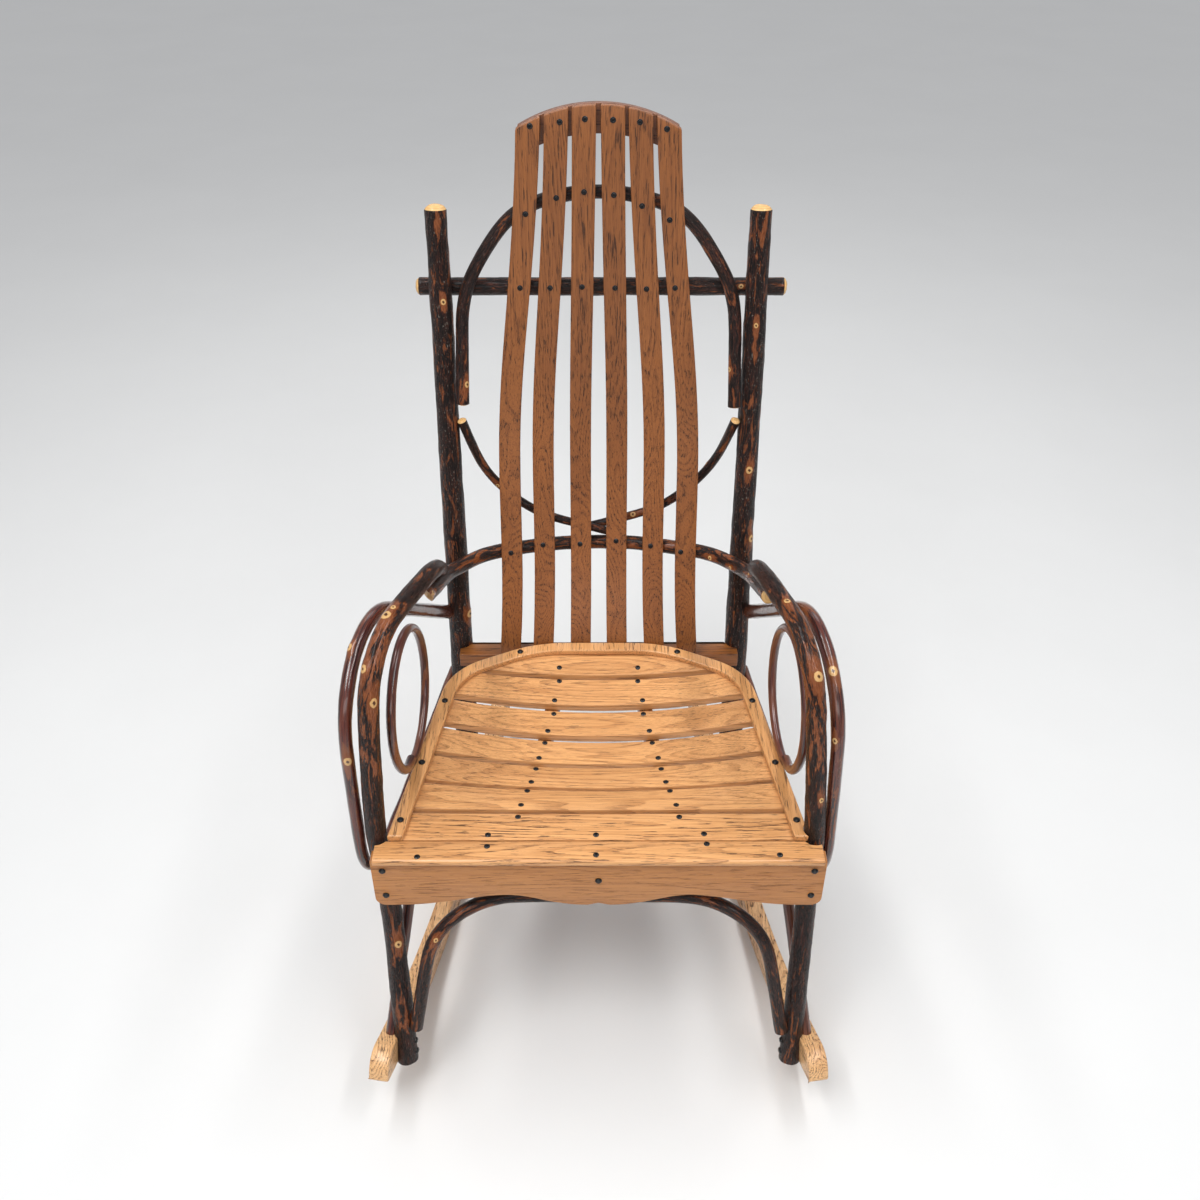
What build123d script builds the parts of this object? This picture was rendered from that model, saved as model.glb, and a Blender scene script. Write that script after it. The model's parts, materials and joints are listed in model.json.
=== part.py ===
# Hickory rocking chair: bent bark-on saplings nailed round an oak seat, back and rockers.
#
# Millimetres, +Z up, +Y to the back, +X to the right as the chair is seen from the front.
# The origin lies on the floor, mid-way between the rocker tips, on the plane of symmetry.
# Left and right in the names are as seen from the front.

from build123d import *
import os
from math import cos, pi, radians, sin, sqrt, tan

# ---------------------------------------------------------------- driving dimensions

NAIL_GAP = 0.2              # bark face to the cope or notch that it is nailed in
TENON_CLEARANCE = 0.1       # round tenon to its hole, on the radius
LEFT, RIGHT = -1, 1

# Rockers: sawn oak, toed in to the back
ROCKER_RADIUS = 1050.0      # underside, as it meets the floor
ROCKER_HEIGHT = 43.0
ROCKER_THICKNESS = 28.0
ROCKER_REACH = 419.0        # tip to origin, along Y
ROCKER_X = 241.8            # centre plane at the origin
ROCKER_TOE_IN = 8.8         # degrees
ROCKER_TIP_ROUND = 28.0     # top corner of each tip
ROCKER_TOE_ROUND = 6.0      # bottom corner of each tip
BALANCE_Y = -10.7           # centre of mass, over the point of contact

# Back posts: straight, tapered, leaning back
POST_X = 221.0
POST_SEAT_Y = 160.0         # axis at the height of the seat
POST_LEAN = 9.8             # degrees
POST_FOOT_DIAMETER = 39.0
POST_TOP_DIAMETER = 30.0
POST_TOP_Z = 1068.0
POST_DOME = 5.0             # rounding of the top end
POST_TENON_DIAMETER = 16.0
POST_TENON_LENGTH = 24.0

# Leg and arm: one sapling from the rocker, up and over, to the back post
LEG_DIAMETER = 30.0
ARM_END_DIAMETER = 23.0
LEG_LAP = 3.5               # how deep the leg is notched on the rocker
ARM_SPLAY = {LEFT: 9.0, RIGHT: -9.0}    # how the two front bends differ, outwards
ARM_TENON_DIAMETER = 14.0
ARM_TENON_LENGTH = 13.0

# Outer hoop: from the post, over beside the arm, and back under the seat
HOOP_THICK_DIAMETER = 23.0
HOOP_THIN_DIAMETER = 11.0
HOOP_SPLAY = {LEFT: 12.0, RIGHT: -12.0}

# Inner loop: a ring between the seat and the arm
LOOP_DIAMETER = 12.5
LOOP_RADIUS = 95.5
LOOP_X = 256.0
LOOP_Y = -134.0
LOOP_TURN = 5.0             # degrees, closing to the back
LOOP_TILT = 1.5             # degrees, top outwards

# Arches of thinner saplings under the seat
SIDE_BOW_DIAMETER = 16.5
SIDE_BOW_FRONT_Y = -355.0   # where its ends stand on the rocker
SIDE_BOW_BACK_Y = 63.0
SIDE_BOW_CROWN_X = 228.0
SIDE_BOW_CROWN_Y = -104.0
SIDE_BOW_BEND = 72.0
FRONT_ARCH_DIAMETER = 18.5

# Back: crossbar, hoop, twigs and the bow between the arms
CROSSBAR_DIAMETER = 25.0
CROSSBAR_Z = 957.0
CROSSBAR_ENDS = (-253.0, 261.0)
BACK_HOOP_DIAMETER = 18.5
TWIG_DIAMETER = 14.0
ARM_BOW_DIAMETER = 21.5

# Back slats: six bent oak strips, fanned in towards the top
SLAT_WIDTH = 31.5
SLAT_THICKNESS = 9.5
BACK_HOLLOW = 24.0          # how far forward the outer slats bow at the sitter's waist
SLAT_BOTTOM_Z = 386.0
SLAT_BOTTOM_PLACES = (28.7, 88.0, 139.7)
SLAT_TOP_PLACES = (18.7, 54.4, 91.0)
CREST_Z = 1206.0            # top of the back, at the middle
CREST_RADIUS = 211.0
CREST_BOARD_HEIGHT = 38.0
CREST_BOARD_THICKNESS = 11.0
CREST_BOARD_HALF_WIDTH = 106.0

# Seat: eight oak boards, dished across and along
SEAT_Z = 433.0              # top of the boards at the rim
SEAT_DISH = 30.0            # hollow at its deepest
SEAT_DISH_FRONT = -243.0
SEAT_DISH_BACK = 101.0
BOARD_WIDTH = 47.0
BOARD_THICKNESS = 12.5
BOARD_FRONTS = (-286.0, -230.0, -176.0, -119.5, -59.0, 1.5, 57.0)
FRONT_BOARD_THICKNESS = 10.0
FRONT_BOARD_FRONT = -323.0
FRONT_BOARD_BACK = -288.0
FRONT_BOARD_HALF_WIDTH = 291.0
FRONT_BOARD_LEG_GAP = 4.0   # all round the leg, where the board is notched for it
BOARD_EASE = 2.0            # eased edges of the boards

# Bent rim screwed on the board ends
RIM_WIDTH = 20.0
RIM_THICKNESS = 9.0
RIM_END = -288.0
RIM_FRONT = (267.5, -305.0)
RIM_SIDE_CORNER = (217.0, 40.0)
RIM_BACK_CORNER = (95.0, 102.0)
RIM_SIDE_BEND = 90.0
RIM_BACK_BEND = 180.0
RIM_SCREW_YS = (-260.0, -153.0, -25.0, 88.0)
RIM_SCREW_LENGTH = 20.0

# Apron, battens and rear rail that carry the seat
APRON_FRONT = -315.0
APRON_THICKNESS = 20.0
APRON_HALF_WIDTH = 296.0
APRON_DROP = 86.0           # height at the ends and at the middle
APRON_RISE = 19.0           # how far the lower edge rises between them
APRON_RISE_X = 105.0        # where it is highest
APRON_LOBE_X = 15.0         # low points to each side of the notch at the middle
APRON_NOTCH = 4.0
APRON_CORNER = 14.0
APRON_SCREW_X = 281.0
APRON_SCREW_DROPS = (17.0, 65.0)    # below the apron's top
APRON_SCREW_LENGTH = 38.0
MIDDLE_SCREW_DROP = 36.0
MIDDLE_SCREW_LENGTH = 16.0
BATTEN_WIDTH = 20.0
BATTEN_HEIGHT = 22.0
BATTEN_FRONT_X = 105.0      # at BATTEN_FRONT_Y
BATTEN_FRONT_Y = -245.0
BATTEN_BACK_X = 64.0        # at BATTEN_BACK_Y
BATTEN_BACK_Y = 60.0
REAR_RAIL_HEIGHT = 24.0
REAR_RAIL_DEPTH = 32.0
REAR_RAIL_Z = 386.0         # its underside
REAR_RAIL_TENON_DIAMETER = 10.0
REAR_RAIL_TENON_LENGTH = 20.0
REAR_RAIL_TENON_SET = 8.5   # in front of the post's axis

# Round-headed screws
SCREW_DIAMETER = 4.0
SCREW_HEAD_DIAMETER = 9.0
SCREW_HEAD_HEIGHT = 3.0

BIG = 2000.0                # larger than the chair

# ---------------------------------------------------------------- shapes in common


def keep(node, shape):
    """Write one node, a solid or a group of separate solids."""
    shape.label = node
    export_step(shape, f"parts/{node}.step")


def largest(shape):
    """The largest solid of a cut shape."""
    return max(shape.solids(), key=lambda solid: solid.volume)


def mirrored(side, points):
    """Points given for the +X side, on either side of the chair."""
    return [(side * x, y, z) for x, y, z in points]


def stick(corners, bends, first_diameter, last_diameter, grow=0.0):
    """A sapling of straight runs and round bends that tapers evenly, grown all round to cope others."""
    if not bends:
        return tapered_rod(*corners, first_diameter + 2 * grow, last_diameter + 2 * grow)
    path = FilletPolyline(*corners, radius=bends)
    runs = []
    done = 0.0
    for run in path.edges():
        ends = []
        for at in (0, 1):
            share = (done + at * run.length) / path.length
            radius = (first_diameter + (last_diameter - first_diameter) * share) / 2 + grow
            ends.append(Plane(origin=run @ at, z_dir=run % at) * Circle(radius))
        runs.append(sweep(sections=ends, path=run, multisection=True))
        done += run.length
    return runs[0].fuse(*runs[1:])


def tapered_rod(first, last, first_diameter, last_diameter):
    """A straight stick between two points."""
    run = Line(first, last)
    ends = []
    for at, diameter in ((0, first_diameter), (1, last_diameter)):
        ends.append(Plane(origin=run @ at, z_dir=run % at) * Circle(diameter / 2))
    return sweep(sections=ends, path=run, multisection=True)


def rod(start, direction, diameter, length):
    """A round bar from a point along a direction."""
    return extrude(Plane(origin=start, z_dir=direction) * Circle(diameter / 2), length)


def screw(point, direction, length):
    """A round-headed screw: the head stands on the face at the point, the shank goes in."""
    head = Cylinder(SCREW_HEAD_DIAMETER / 2, SCREW_HEAD_HEIGHT, align=(Align.CENTER, Align.CENTER, Align.MAX))
    head = chamfer(head.edges().sort_by(Axis.Z)[0], SCREW_HEAD_HEIGHT * 0.6, SCREW_HEAD_DIAMETER * 0.2)
    shank = Cylinder(SCREW_DIAMETER / 2, length, align=(Align.CENTER, Align.CENTER, Align.MIN))
    return Plane(origin=point, z_dir=direction) * (head + shank)


def screw_hole(point, direction, length):
    """The hole that a screw's shank goes into."""
    return rod(point, direction, SCREW_DIAMETER + 2 * TENON_CLEARANCE, length + 1)


def drilled(shape, places, length):
    """A piece with a hole for each screw, given as point and direction."""
    for point, direction in places:
        shape = shape - screw_hole(point, direction, length)
    return shape


def spot_faced(shape, places):
    """A round stick flattened under its screw heads."""
    for point, direction in places:
        outwards = [-part for part in direction]
        shape = shape - rod(point, outwards, SCREW_HEAD_DIAMETER + 2 * NAIL_GAP, 3 * SCREW_HEAD_HEIGHT)
    return shape


# ---------------------------------------------------------------- rockers

APRON_TOP = SEAT_Z - FRONT_BOARD_THICKNESS
APRON_BACK = APRON_FRONT + APRON_THICKNESS
TOE_IN = radians(ROCKER_TOE_IN)
ROCKER_TOP_RADIUS = ROCKER_RADIUS - ROCKER_HEIGHT


def rocker_x(y):
    """Centre plane of the rocker."""
    return ROCKER_X - tan(TOE_IN) * y


def rocker_under(y):
    """Height of the underside."""
    along = (y - BALANCE_Y) / cos(TOE_IN)
    return ROCKER_RADIUS - sqrt(ROCKER_RADIUS**2 - along**2)


def rocker_top(y):
    """Height of the upper face."""
    along = (y - BALANCE_Y) / cos(TOE_IN)
    return ROCKER_RADIUS - sqrt(ROCKER_TOP_RADIUS**2 - along**2)


def rocker_plane(side):
    """Upright plane of the rocker: x runs along it to the back, y runs up."""
    return Plane(
        origin=(side * rocker_x(BALANCE_Y), BALANCE_Y, 0),
        x_dir=(-side * sin(TOE_IN), cos(TOE_IN), 0),
        z_dir=(cos(TOE_IN), side * sin(TOE_IN), 0),
    )


def rocker_blank(side, grow=0.0):
    """The bent bar with its rounded tips, or the space it needs in a lapped leg."""
    lower = ROCKER_RADIUS + grow
    upper = ROCKER_TOP_RADIUS - grow
    corners = []
    for tip in (-ROCKER_REACH, ROCKER_REACH):
        share = (tip - BALANCE_Y) / cos(TOE_IN) / ROCKER_RADIUS
        rise = sqrt(1 - share**2)
        corners.append((lower * share, ROCKER_RADIUS - lower * rise))
        corners.append((upper * share, ROCKER_RADIUS - upper * rise))
    front_low, front_high, back_low, back_high = corners
    outline = ThreePointArc(front_low, (0, ROCKER_RADIUS - lower), back_low)
    outline += Line(back_low, back_high)
    outline += ThreePointArc(back_high, (0, ROCKER_RADIUS - upper), front_high)
    outline += Line(front_high, front_low)
    face = make_face(outline)
    by_height = face.vertices().sort_by(Axis.Y)
    face = fillet(by_height[-2:], ROCKER_TIP_ROUND)
    toes = [corner for corner in face.vertices() if (Vector(*corner) - Vector(*front_low)).length < 1]
    toes += [corner for corner in face.vertices() if (Vector(*corner) - Vector(*back_low)).length < 1]
    face = fillet(toes, ROCKER_TOE_ROUND)
    return rocker_plane(side) * extrude(face, ROCKER_THICKNESS / 2 + grow, both=True)


def above_rocker(side):
    """All the space over the rocker's upper face."""
    disc = Pos(0, ROCKER_RADIUS) * Circle(ROCKER_TOP_RADIUS)
    return rocker_plane(side) * extrude(disc, ROCKER_X, both=True)


# ---------------------------------------------------------------- back posts

POST_SLOPE = tan(radians(POST_LEAN))


def post_point(side, z):
    """A point on the axis of a post."""
    return (side * POST_X, POST_SEAT_Y + POST_SLOPE * (z - SEAT_Z), z)


def post_foot_y():
    """Where the axis meets the rocker's upper face."""
    y = POST_SEAT_Y
    for _ in range(12):
        y = post_point(RIGHT, rocker_top(y))[1]
    return y


POST_FOOT_Y = post_foot_y()
POST_FOOT_Z = rocker_top(POST_FOOT_Y)
POST_TAPER = (POST_FOOT_DIAMETER - POST_TOP_DIAMETER) / (POST_TOP_Z - POST_FOOT_Z)


def post_radius(z):
    return (POST_FOOT_DIAMETER - POST_TAPER * (z - POST_FOOT_Z)) / 2


def post_bar(side, grow=0.0):
    """The post's round bar, from inside the rocker to the top."""
    low = POST_FOOT_Z - ROCKER_HEIGHT / 2
    ends = [post_point(side, low), post_point(side, POST_TOP_Z)]
    return stick(ends, None, 2 * post_radius(low), POST_TOP_DIAMETER, grow)


def foot_tenon(side, grow=0.0):
    """The post's tenon, on the rocker's centre line."""
    lean = radians(POST_LEAN)
    start = (side * rocker_x(POST_FOOT_Y), POST_FOOT_Y + POST_SLOPE * 6, POST_FOOT_Z + 6)
    down = (0, -sin(lean), -cos(lean))
    return rod(start, down, POST_TENON_DIAMETER + 2 * grow, POST_TENON_LENGTH + 6 + 5 * grow)


# ---------------------------------------------------------------- legs and arms

LEG_FOOT_Y = -369.0
LEG_FOOT_X = (
    rocker_x(LEG_FOOT_Y) - ROCKER_THICKNESS / 2 / cos(TOE_IN) + LEG_LAP - LEG_DIAMETER / 2
)
LEG_SCREW_RISES = (16.0, 33.0)      # over the rocker's underside
LEG_SCREW_LENGTH = 30.0
ARM_END_Z = 533.0


def leg_arm_corners(side):
    splay = ARM_SPLAY[side]
    points = [
        (LEG_FOOT_X, LEG_FOOT_Y, rocker_under(LEG_FOOT_Y)),
        (285, APRON_BACK + LEG_DIAMETER / 2 + 0.5, APRON_TOP - APRON_DROP - 22),
        (288 + splay / 2, APRON_BACK + LEG_DIAMETER / 2 + 1.5, SEAT_Z + 7),
        (273 + splay, -229, 706),
        (222 + splay / 3, -2, 670),
        (POST_X + 17, post_point(side, ARM_END_Z)[1] - 8, ARM_END_Z),
    ]
    return mirrored(side, points)


def leg_arm_stick(side, grow=0.0):
    return stick(leg_arm_corners(side), [300, 500, 90, 170], LEG_DIAMETER, ARM_END_DIAMETER, grow)


def arm_tenon(side, grow=0.0):
    """From the end of the arm to the axis of the post."""
    *_, before, end = [Vector(*corner) for corner in leg_arm_corners(side)]
    start = end + (before - end).normalized() * 11
    heart = Vector(*post_point(side, ARM_END_Z - 4))
    reach = (heart - start).length - post_radius(ARM_END_Z) + ARM_TENON_LENGTH
    return rod(start, heart - start, ARM_TENON_DIAMETER + 2 * grow, reach + 5 * grow)


def leg_screws(side):
    """Point on the leg's inner side and direction into the rocker, for each screw."""
    out = (side * cos(TOE_IN), sin(TOE_IN), 0)
    foot, knee = [Vector(*corner) for corner in leg_arm_corners(side)[:2]]
    along = (knee - foot).normalized()
    places = []
    for rise in LEG_SCREW_RISES:
        axis_point = foot + along * rise
        places.append((axis_point - Vector(*out) * (LEG_DIAMETER / 2 - 0.6), out))
    return places


# ---------------------------------------------------------------- hoops, loops and bows at the sides


def arm_hoop_stick(side, grow=0.0):
    splay = HOOP_SPLAY[side]
    rear_top = post_point(side, 462)
    rear_low = post_point(side, 343)
    points = [
        (POST_X + 17, rear_top[1] - 1, 462),
        (311 + splay, -222, 771),
        (311 + splay / 3, -282, 322),
        (POST_X + 20.5, rear_low[1] + 14, 343),
    ]
    return stick(mirrored(side, points), [122, 62], HOOP_THICK_DIAMETER, HOOP_THIN_DIAMETER, grow)


def loop_ring(side):
    turn = radians(LOOP_TURN)
    tilt = radians(LOOP_TILT)
    seat_level = SEAT_Z + RIM_THICKNESS + NAIL_GAP
    middle = (side * LOOP_X, LOOP_Y, seat_level + LOOP_DIAMETER / 2 + LOOP_RADIUS * cos(tilt))
    normal = (side * cos(turn) * cos(tilt), sin(turn) * cos(tilt), -sin(tilt))
    return Plane(origin=middle, z_dir=normal) * Torus(LOOP_RADIUS, LOOP_DIAMETER / 2)


def side_bow_stick(side, grow=0.0):
    """Splayed arch from the front of the rocker, under the seat's edge, to the foot of the post."""
    front = Vector(rocker_x(SIDE_BOW_FRONT_Y) - 1, SIDE_BOW_FRONT_Y, rocker_top(SIDE_BOW_FRONT_Y) - 6)
    back = Vector(rocker_x(SIDE_BOW_BACK_Y), SIDE_BOW_BACK_Y, rocker_top(SIDE_BOW_BACK_Y) - 6)
    under = board_top(SIDE_BOW_CROWN_X - SIDE_BOW_DIAMETER / 2, SIDE_BOW_CROWN_Y) - BOARD_THICKNESS
    crown = under - NAIL_GAP - SIDE_BOW_DIAMETER / 2
    corner = Vector(SIDE_BOW_CROWN_X, SIDE_BOW_CROWN_Y, crown)
    for _ in range(12):
        half_angle = radians((front - corner).get_angle(back - corner)) / 2
        corner = Vector(corner.X, corner.Y, crown + SIDE_BOW_BEND * (1 / sin(half_angle) - 1))
    points = [tuple(front), tuple(corner), tuple(back)]
    return stick(mirrored(side, points), [SIDE_BOW_BEND], SIDE_BOW_DIAMETER, SIDE_BOW_DIAMETER, grow)


def front_arch_stick():
    """Arch between the legs, under the apron."""
    half = [(257, -358, 124), (226, -318, 291), (150, -283, 318)]
    points = mirrored(LEFT, half) + mirrored(RIGHT, half[::-1])
    return stick(points, [78, 125, 125, 78], FRONT_ARCH_DIAMETER, FRONT_ARCH_DIAMETER)


# ---------------------------------------------------------------- back slats

# Front face of the back: depth, height, and how much of the hollow the outer slats take there
SLAT_LINE_POINTS = (
    (108, 380, 0),
    (110, 410, 0),
    (155, 510, 0.7),
    (193, 600, 1),
    (222, 700, 0.85),
    (242, 800, 0.4),
    (254, 950, 0),
    (258, 1070, 0),
    (263, 1215, 0),
)
FAN_HEIGHTS = (SLAT_BOTTOM_Z, 560.0, 760.0, 950.0, 1190.0)
FAN_SHARES = (1.06, 0.86, 0.83, 0.45, 0.0)      # how far each height is from the top spacing
WAIST_SHARE = FAN_SHARES[1]


def waist_place(number):
    """Distance of a slat from the middle at the sitter's waist: 0, 1 or 2 from the middle outwards."""
    spread = SLAT_BOTTOM_PLACES[number] - SLAT_TOP_PLACES[number]
    return SLAT_TOP_PLACES[number] + spread * WAIST_SHARE


def slat_line(number):
    """Front line of a slat, seen from the side."""
    hollow = BACK_HOLLOW * (waist_place(number) / waist_place(2)) ** 2
    return Spline(*[(0, y - hollow * share, z) for y, z, share in SLAT_LINE_POINTS])


def behind_slats(z, depth, number=0):
    """Y of a point behind a slat's front line at a height, measured square to the slat."""
    line = slat_line(number)
    low, high = 0.0, 1.0
    for _ in range(30):
        middle = (low + high) / 2
        if (line @ middle).Z < z:
            low = middle
        else:
            high = middle
    return (line @ low).Y + depth / (line % low).Z


def slat_band(number, near, far, half_width):
    """What lies between two depths behind a slat's front line, across the whole back."""
    line = slat_line(number)
    sides = []
    for depth in (near, far):
        points = []
        for step in range(21):
            at = step / 20
            normal = Vector(0, (line % at).Z, -(line % at).Y)
            points.append(line @ at + normal * depth)
        sides.append(Spline(*points))
    front, back = sides
    face = make_face(front + Line(front @ 1, back @ 1) + back + Line(back @ 0, front @ 0))
    return extrude(face, half_width, dir=(1, 0, 0), both=True)


def crest_disc(rise=0.0):
    """Everything under the rounded top of the back, seen from the front."""
    disc = Pos(0, CREST_Z - CREST_RADIUS + rise) * Circle(CREST_RADIUS)
    skirt = Pos(0, CREST_Z - CREST_RADIUS + rise - BIG / 4) * Rectangle(2 * CREST_RADIUS, BIG / 2)
    return disc + skirt


def slat_outline(number):
    """Front view of a slat: number 0, 1 or 2 from the middle outwards, on the +X side."""
    edges = []
    for edge in (-SLAT_WIDTH / 2, SLAT_WIDTH / 2):
        points = []
        for z, share in zip(FAN_HEIGHTS, FAN_SHARES):
            spread = SLAT_BOTTOM_PLACES[number] - SLAT_TOP_PLACES[number]
            points.append((SLAT_TOP_PLACES[number] + spread * share + edge, z))
        points[-1] = (SLAT_TOP_PLACES[number] + edge, CREST_Z + 4)
        edges.append(Spline(*points))
    inner, outer = edges
    return make_face(inner + Line(inner @ 1, outer @ 1) + outer + Line(outer @ 0, inner @ 0))


def front_view(face, side=RIGHT):
    """A face drawn from the front, run through the depth of the chair."""
    solid = extrude(Plane.XZ * face, BIG / 2, both=True)
    return solid if side == RIGHT else mirror(solid, Plane.YZ)


# ---------------------------------------------------------------- seat


def rim_line():
    corners = [RIM_FRONT, RIM_SIDE_CORNER, RIM_BACK_CORNER]
    corners += [(-x, y) for x, y in reversed(corners)]
    bends = [RIM_SIDE_BEND, RIM_BACK_BEND, RIM_BACK_BEND, RIM_SIDE_BEND]
    return FilletPolyline(*corners, radius=bends)


def seat_outline(margin):
    """The rim's centre line as a closed shape, made larger all round."""
    line = rim_line()
    return offset(make_face(line + Line(line @ 1, line @ 0)), margin, kind=Kind.INTERSECTION)


def dish(y):
    """How far the middle of the seat lies below the rim."""
    if not SEAT_DISH_FRONT < y < SEAT_DISH_BACK:
        return 0.0
    return SEAT_DISH * sin(pi * (y - SEAT_DISH_FRONT) / (SEAT_DISH_BACK - SEAT_DISH_FRONT))


RIM_LINE = rim_line()


def rim_share(y):
    """How far along the +X half of the rim's centre line a depth is reached."""
    low, high = 0.0, 0.5
    for _ in range(30):
        middle = (low + high) / 2
        if (RIM_LINE @ middle).Y < y:
            low = middle
        else:
            high = middle
    return low


def rim_inner_x(y):
    """Inner edge of the rim, to one side of the middle."""
    at = rim_share(y)
    along = RIM_LINE % at
    return max((RIM_LINE @ at).X - RIM_WIDTH / 2 / max(along.Y, 0.2), BATTEN_BACK_X)


def board_top(x, y):
    """Height of the boards' upper face: hollow within the rim, level under it."""
    return SEAT_Z - dish(y) * max(1 - (x / rim_inner_x(y)) ** 2, 0)


def board_section(y):
    """Cross-section of a dished board, in the XZ plane at a depth."""
    half = rim_inner_x(y)
    end = RIM_FRONT[0] + RIM_WIDTH
    hollow = Bezier((-half, y, SEAT_Z), (0, y, SEAT_Z - 2 * dish(y)), (half, y, SEAT_Z))
    top = Line((-end, y, SEAT_Z), hollow @ 0) + hollow + Line(hollow @ 1, (end, y, SEAT_Z))
    under = Pos(0, 0, -BOARD_THICKNESS) * top
    left = Line((-end, y, SEAT_Z), (-end, y, SEAT_Z - BOARD_THICKNESS))
    right = Line((end, y, SEAT_Z), (end, y, SEAT_Z - BOARD_THICKNESS))
    return make_face(top + right + under + left)


def seat_board(front):
    return loft([board_section(front), board_section(front + BOARD_WIDTH)], ruled=True)


def plan_view(face):
    """A face drawn in plan, run through the height of the chair."""
    return extrude(face, BIG)


def front_board():
    """The level board at the front, with a rounded nose."""
    depth = FRONT_BOARD_BACK - FRONT_BOARD_FRONT
    board = Pos(0, FRONT_BOARD_FRONT + depth / 2, SEAT_Z - FRONT_BOARD_THICKNESS / 2) * Box(
        2 * FRONT_BOARD_HALF_WIDTH, depth, FRONT_BOARD_THICKNESS
    )
    nose = board.edges().filter_by(Axis.X).sort_by(Axis.Y)[:2]
    return fillet(nose, FRONT_BOARD_THICKNESS * 0.4)


def apron():
    """Front apron: the lower edge rises to each side of a lobe at the middle."""
    low = APRON_TOP - APRON_DROP
    high = low + APRON_RISE
    half = APRON_HALF_WIDTH
    wave = Spline(
        (APRON_CORNER * 2 - half, low),
        (-APRON_RISE_X, high),
        (-APRON_LOBE_X, low),
        tangents=[(1, 0), (1, 0)],
    )
    other_wave = mirror(wave, Plane.YZ)
    notch = Polyline(wave @ 1, (0, low + APRON_NOTCH), other_wave @ 1)
    ends = Polyline(wave @ 0, (-half, low), (-half, APRON_TOP), (half, APRON_TOP), (half, low), other_wave @ 0)
    face = make_face(wave + notch + other_wave + ends)
    low_corners = [corner for corner in face.vertices() if abs(corner.X) > half - 1 and corner.Y < low + 1]
    face = fillet(low_corners, APRON_CORNER)
    return Pos(0, APRON_BACK, 0) * extrude(Plane.XZ * face, APRON_THICKNESS)


def apron_screws(side):
    """Through the end of the apron into the leg."""
    return [((side * APRON_SCREW_X, APRON_FRONT, APRON_TOP - drop), (0, 1, 0)) for drop in APRON_SCREW_DROPS]


MIDDLE_SCREW = ((0, APRON_FRONT, APRON_TOP - MIDDLE_SCREW_DROP), (0, 1, 0))


def rim_screws():
    """Down through the rim into the boards, four to each side."""
    places = []
    for side in (LEFT, RIGHT):
        for y in RIM_SCREW_YS:
            point = RIM_LINE @ rim_share(y)
            places.append(((side * point.X, point.Y, SEAT_Z + NAIL_GAP + RIM_THICKNESS), (0, 0, -1)))
    return places


def screw_group(places, length):
    """Screws of one kind, as separate solids."""
    return Compound(children=[screw(point, direction, length) for point, direction in places])


def batten(side):
    """Bearer under the boards, from the apron to the rear rail, dished like the seat."""
    slope = (BATTEN_BACK_X - BATTEN_FRONT_X) / (BATTEN_BACK_Y - BATTEN_FRONT_Y)

    def centre_x(y):
        return BATTEN_FRONT_X + slope * (y - BATTEN_FRONT_Y)

    front = APRON_BACK
    back = rail_front()
    edges = [front]
    for board_front in BOARD_FRONTS:
        edges += [board_front, board_front + BOARD_WIDTH]
    points = []
    for y in edges + [back]:
        inner = centre_x(y) - BATTEN_WIDTH / 2
        points.append((0, y, board_top(inner, y) - BOARD_THICKNESS - NAIL_GAP))
    top = Polyline(*points)
    under = Pos(0, 0, -BATTEN_HEIGHT) * top
    profile = make_face(top + Line(top @ 1, under @ 1) + under + Line(under @ 0, top @ 0))
    strip = make_face(
        Polyline(
            (centre_x(front) - BATTEN_WIDTH / 2, front),
            (centre_x(front) + BATTEN_WIDTH / 2, front),
            (centre_x(back) + BATTEN_WIDTH / 2, back),
            (centre_x(back) - BATTEN_WIDTH / 2, back),
            close=True,
        )
    )
    bar = extrude(profile, BATTEN_FRONT_X * 2, dir=(1, 0, 0)) & plan_view(strip)
    for board in [front_board()] + [seat_board(board_front) for board_front in BOARD_FRONTS]:
        bar = largest(bar - Pos(0, 0, -NAIL_GAP) * board)
    return bar if side == RIGHT else mirror(bar, Plane.YZ)


def rail_front():
    """Front face of the rear rail, against the backs of the slats."""
    heights = [REAR_RAIL_Z + REAR_RAIL_HEIGHT * step / 4 for step in range(5)]
    depth = SLAT_THICKNESS + 2 * NAIL_GAP
    return max(behind_slats(z, depth, number) for z in heights for number in range(3))


def rail_tenon(side, grow=0.0):
    """The rear rail's round tenon, into the side of a post."""
    z = REAR_RAIL_Z + REAR_RAIL_HEIGHT / 2
    shoulder = POST_X - post_radius(z)
    start = (side * (shoulder - 12), post_point(side, z)[1] - REAR_RAIL_TENON_SET, z)
    reach = 12 + REAR_RAIL_TENON_LENGTH + 5 * grow
    return rod(start, (side, 0, 0), REAR_RAIL_TENON_DIAMETER + 2 * grow, reach)


# ---------------------------------------------------------------- the chair

os.makedirs("parts", exist_ok=True)

apron_space = Pos(0, APRON_BACK + NAIL_GAP - BIG / 4, SEAT_Z) * Box(BIG, BIG / 2, 4 * APRON_DROP)
apron_space &= Pos(0, 0, APRON_TOP - APRON_DROP / 2) * Box(BIG, BIG, APRON_DROP + 2 * NAIL_GAP)

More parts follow.
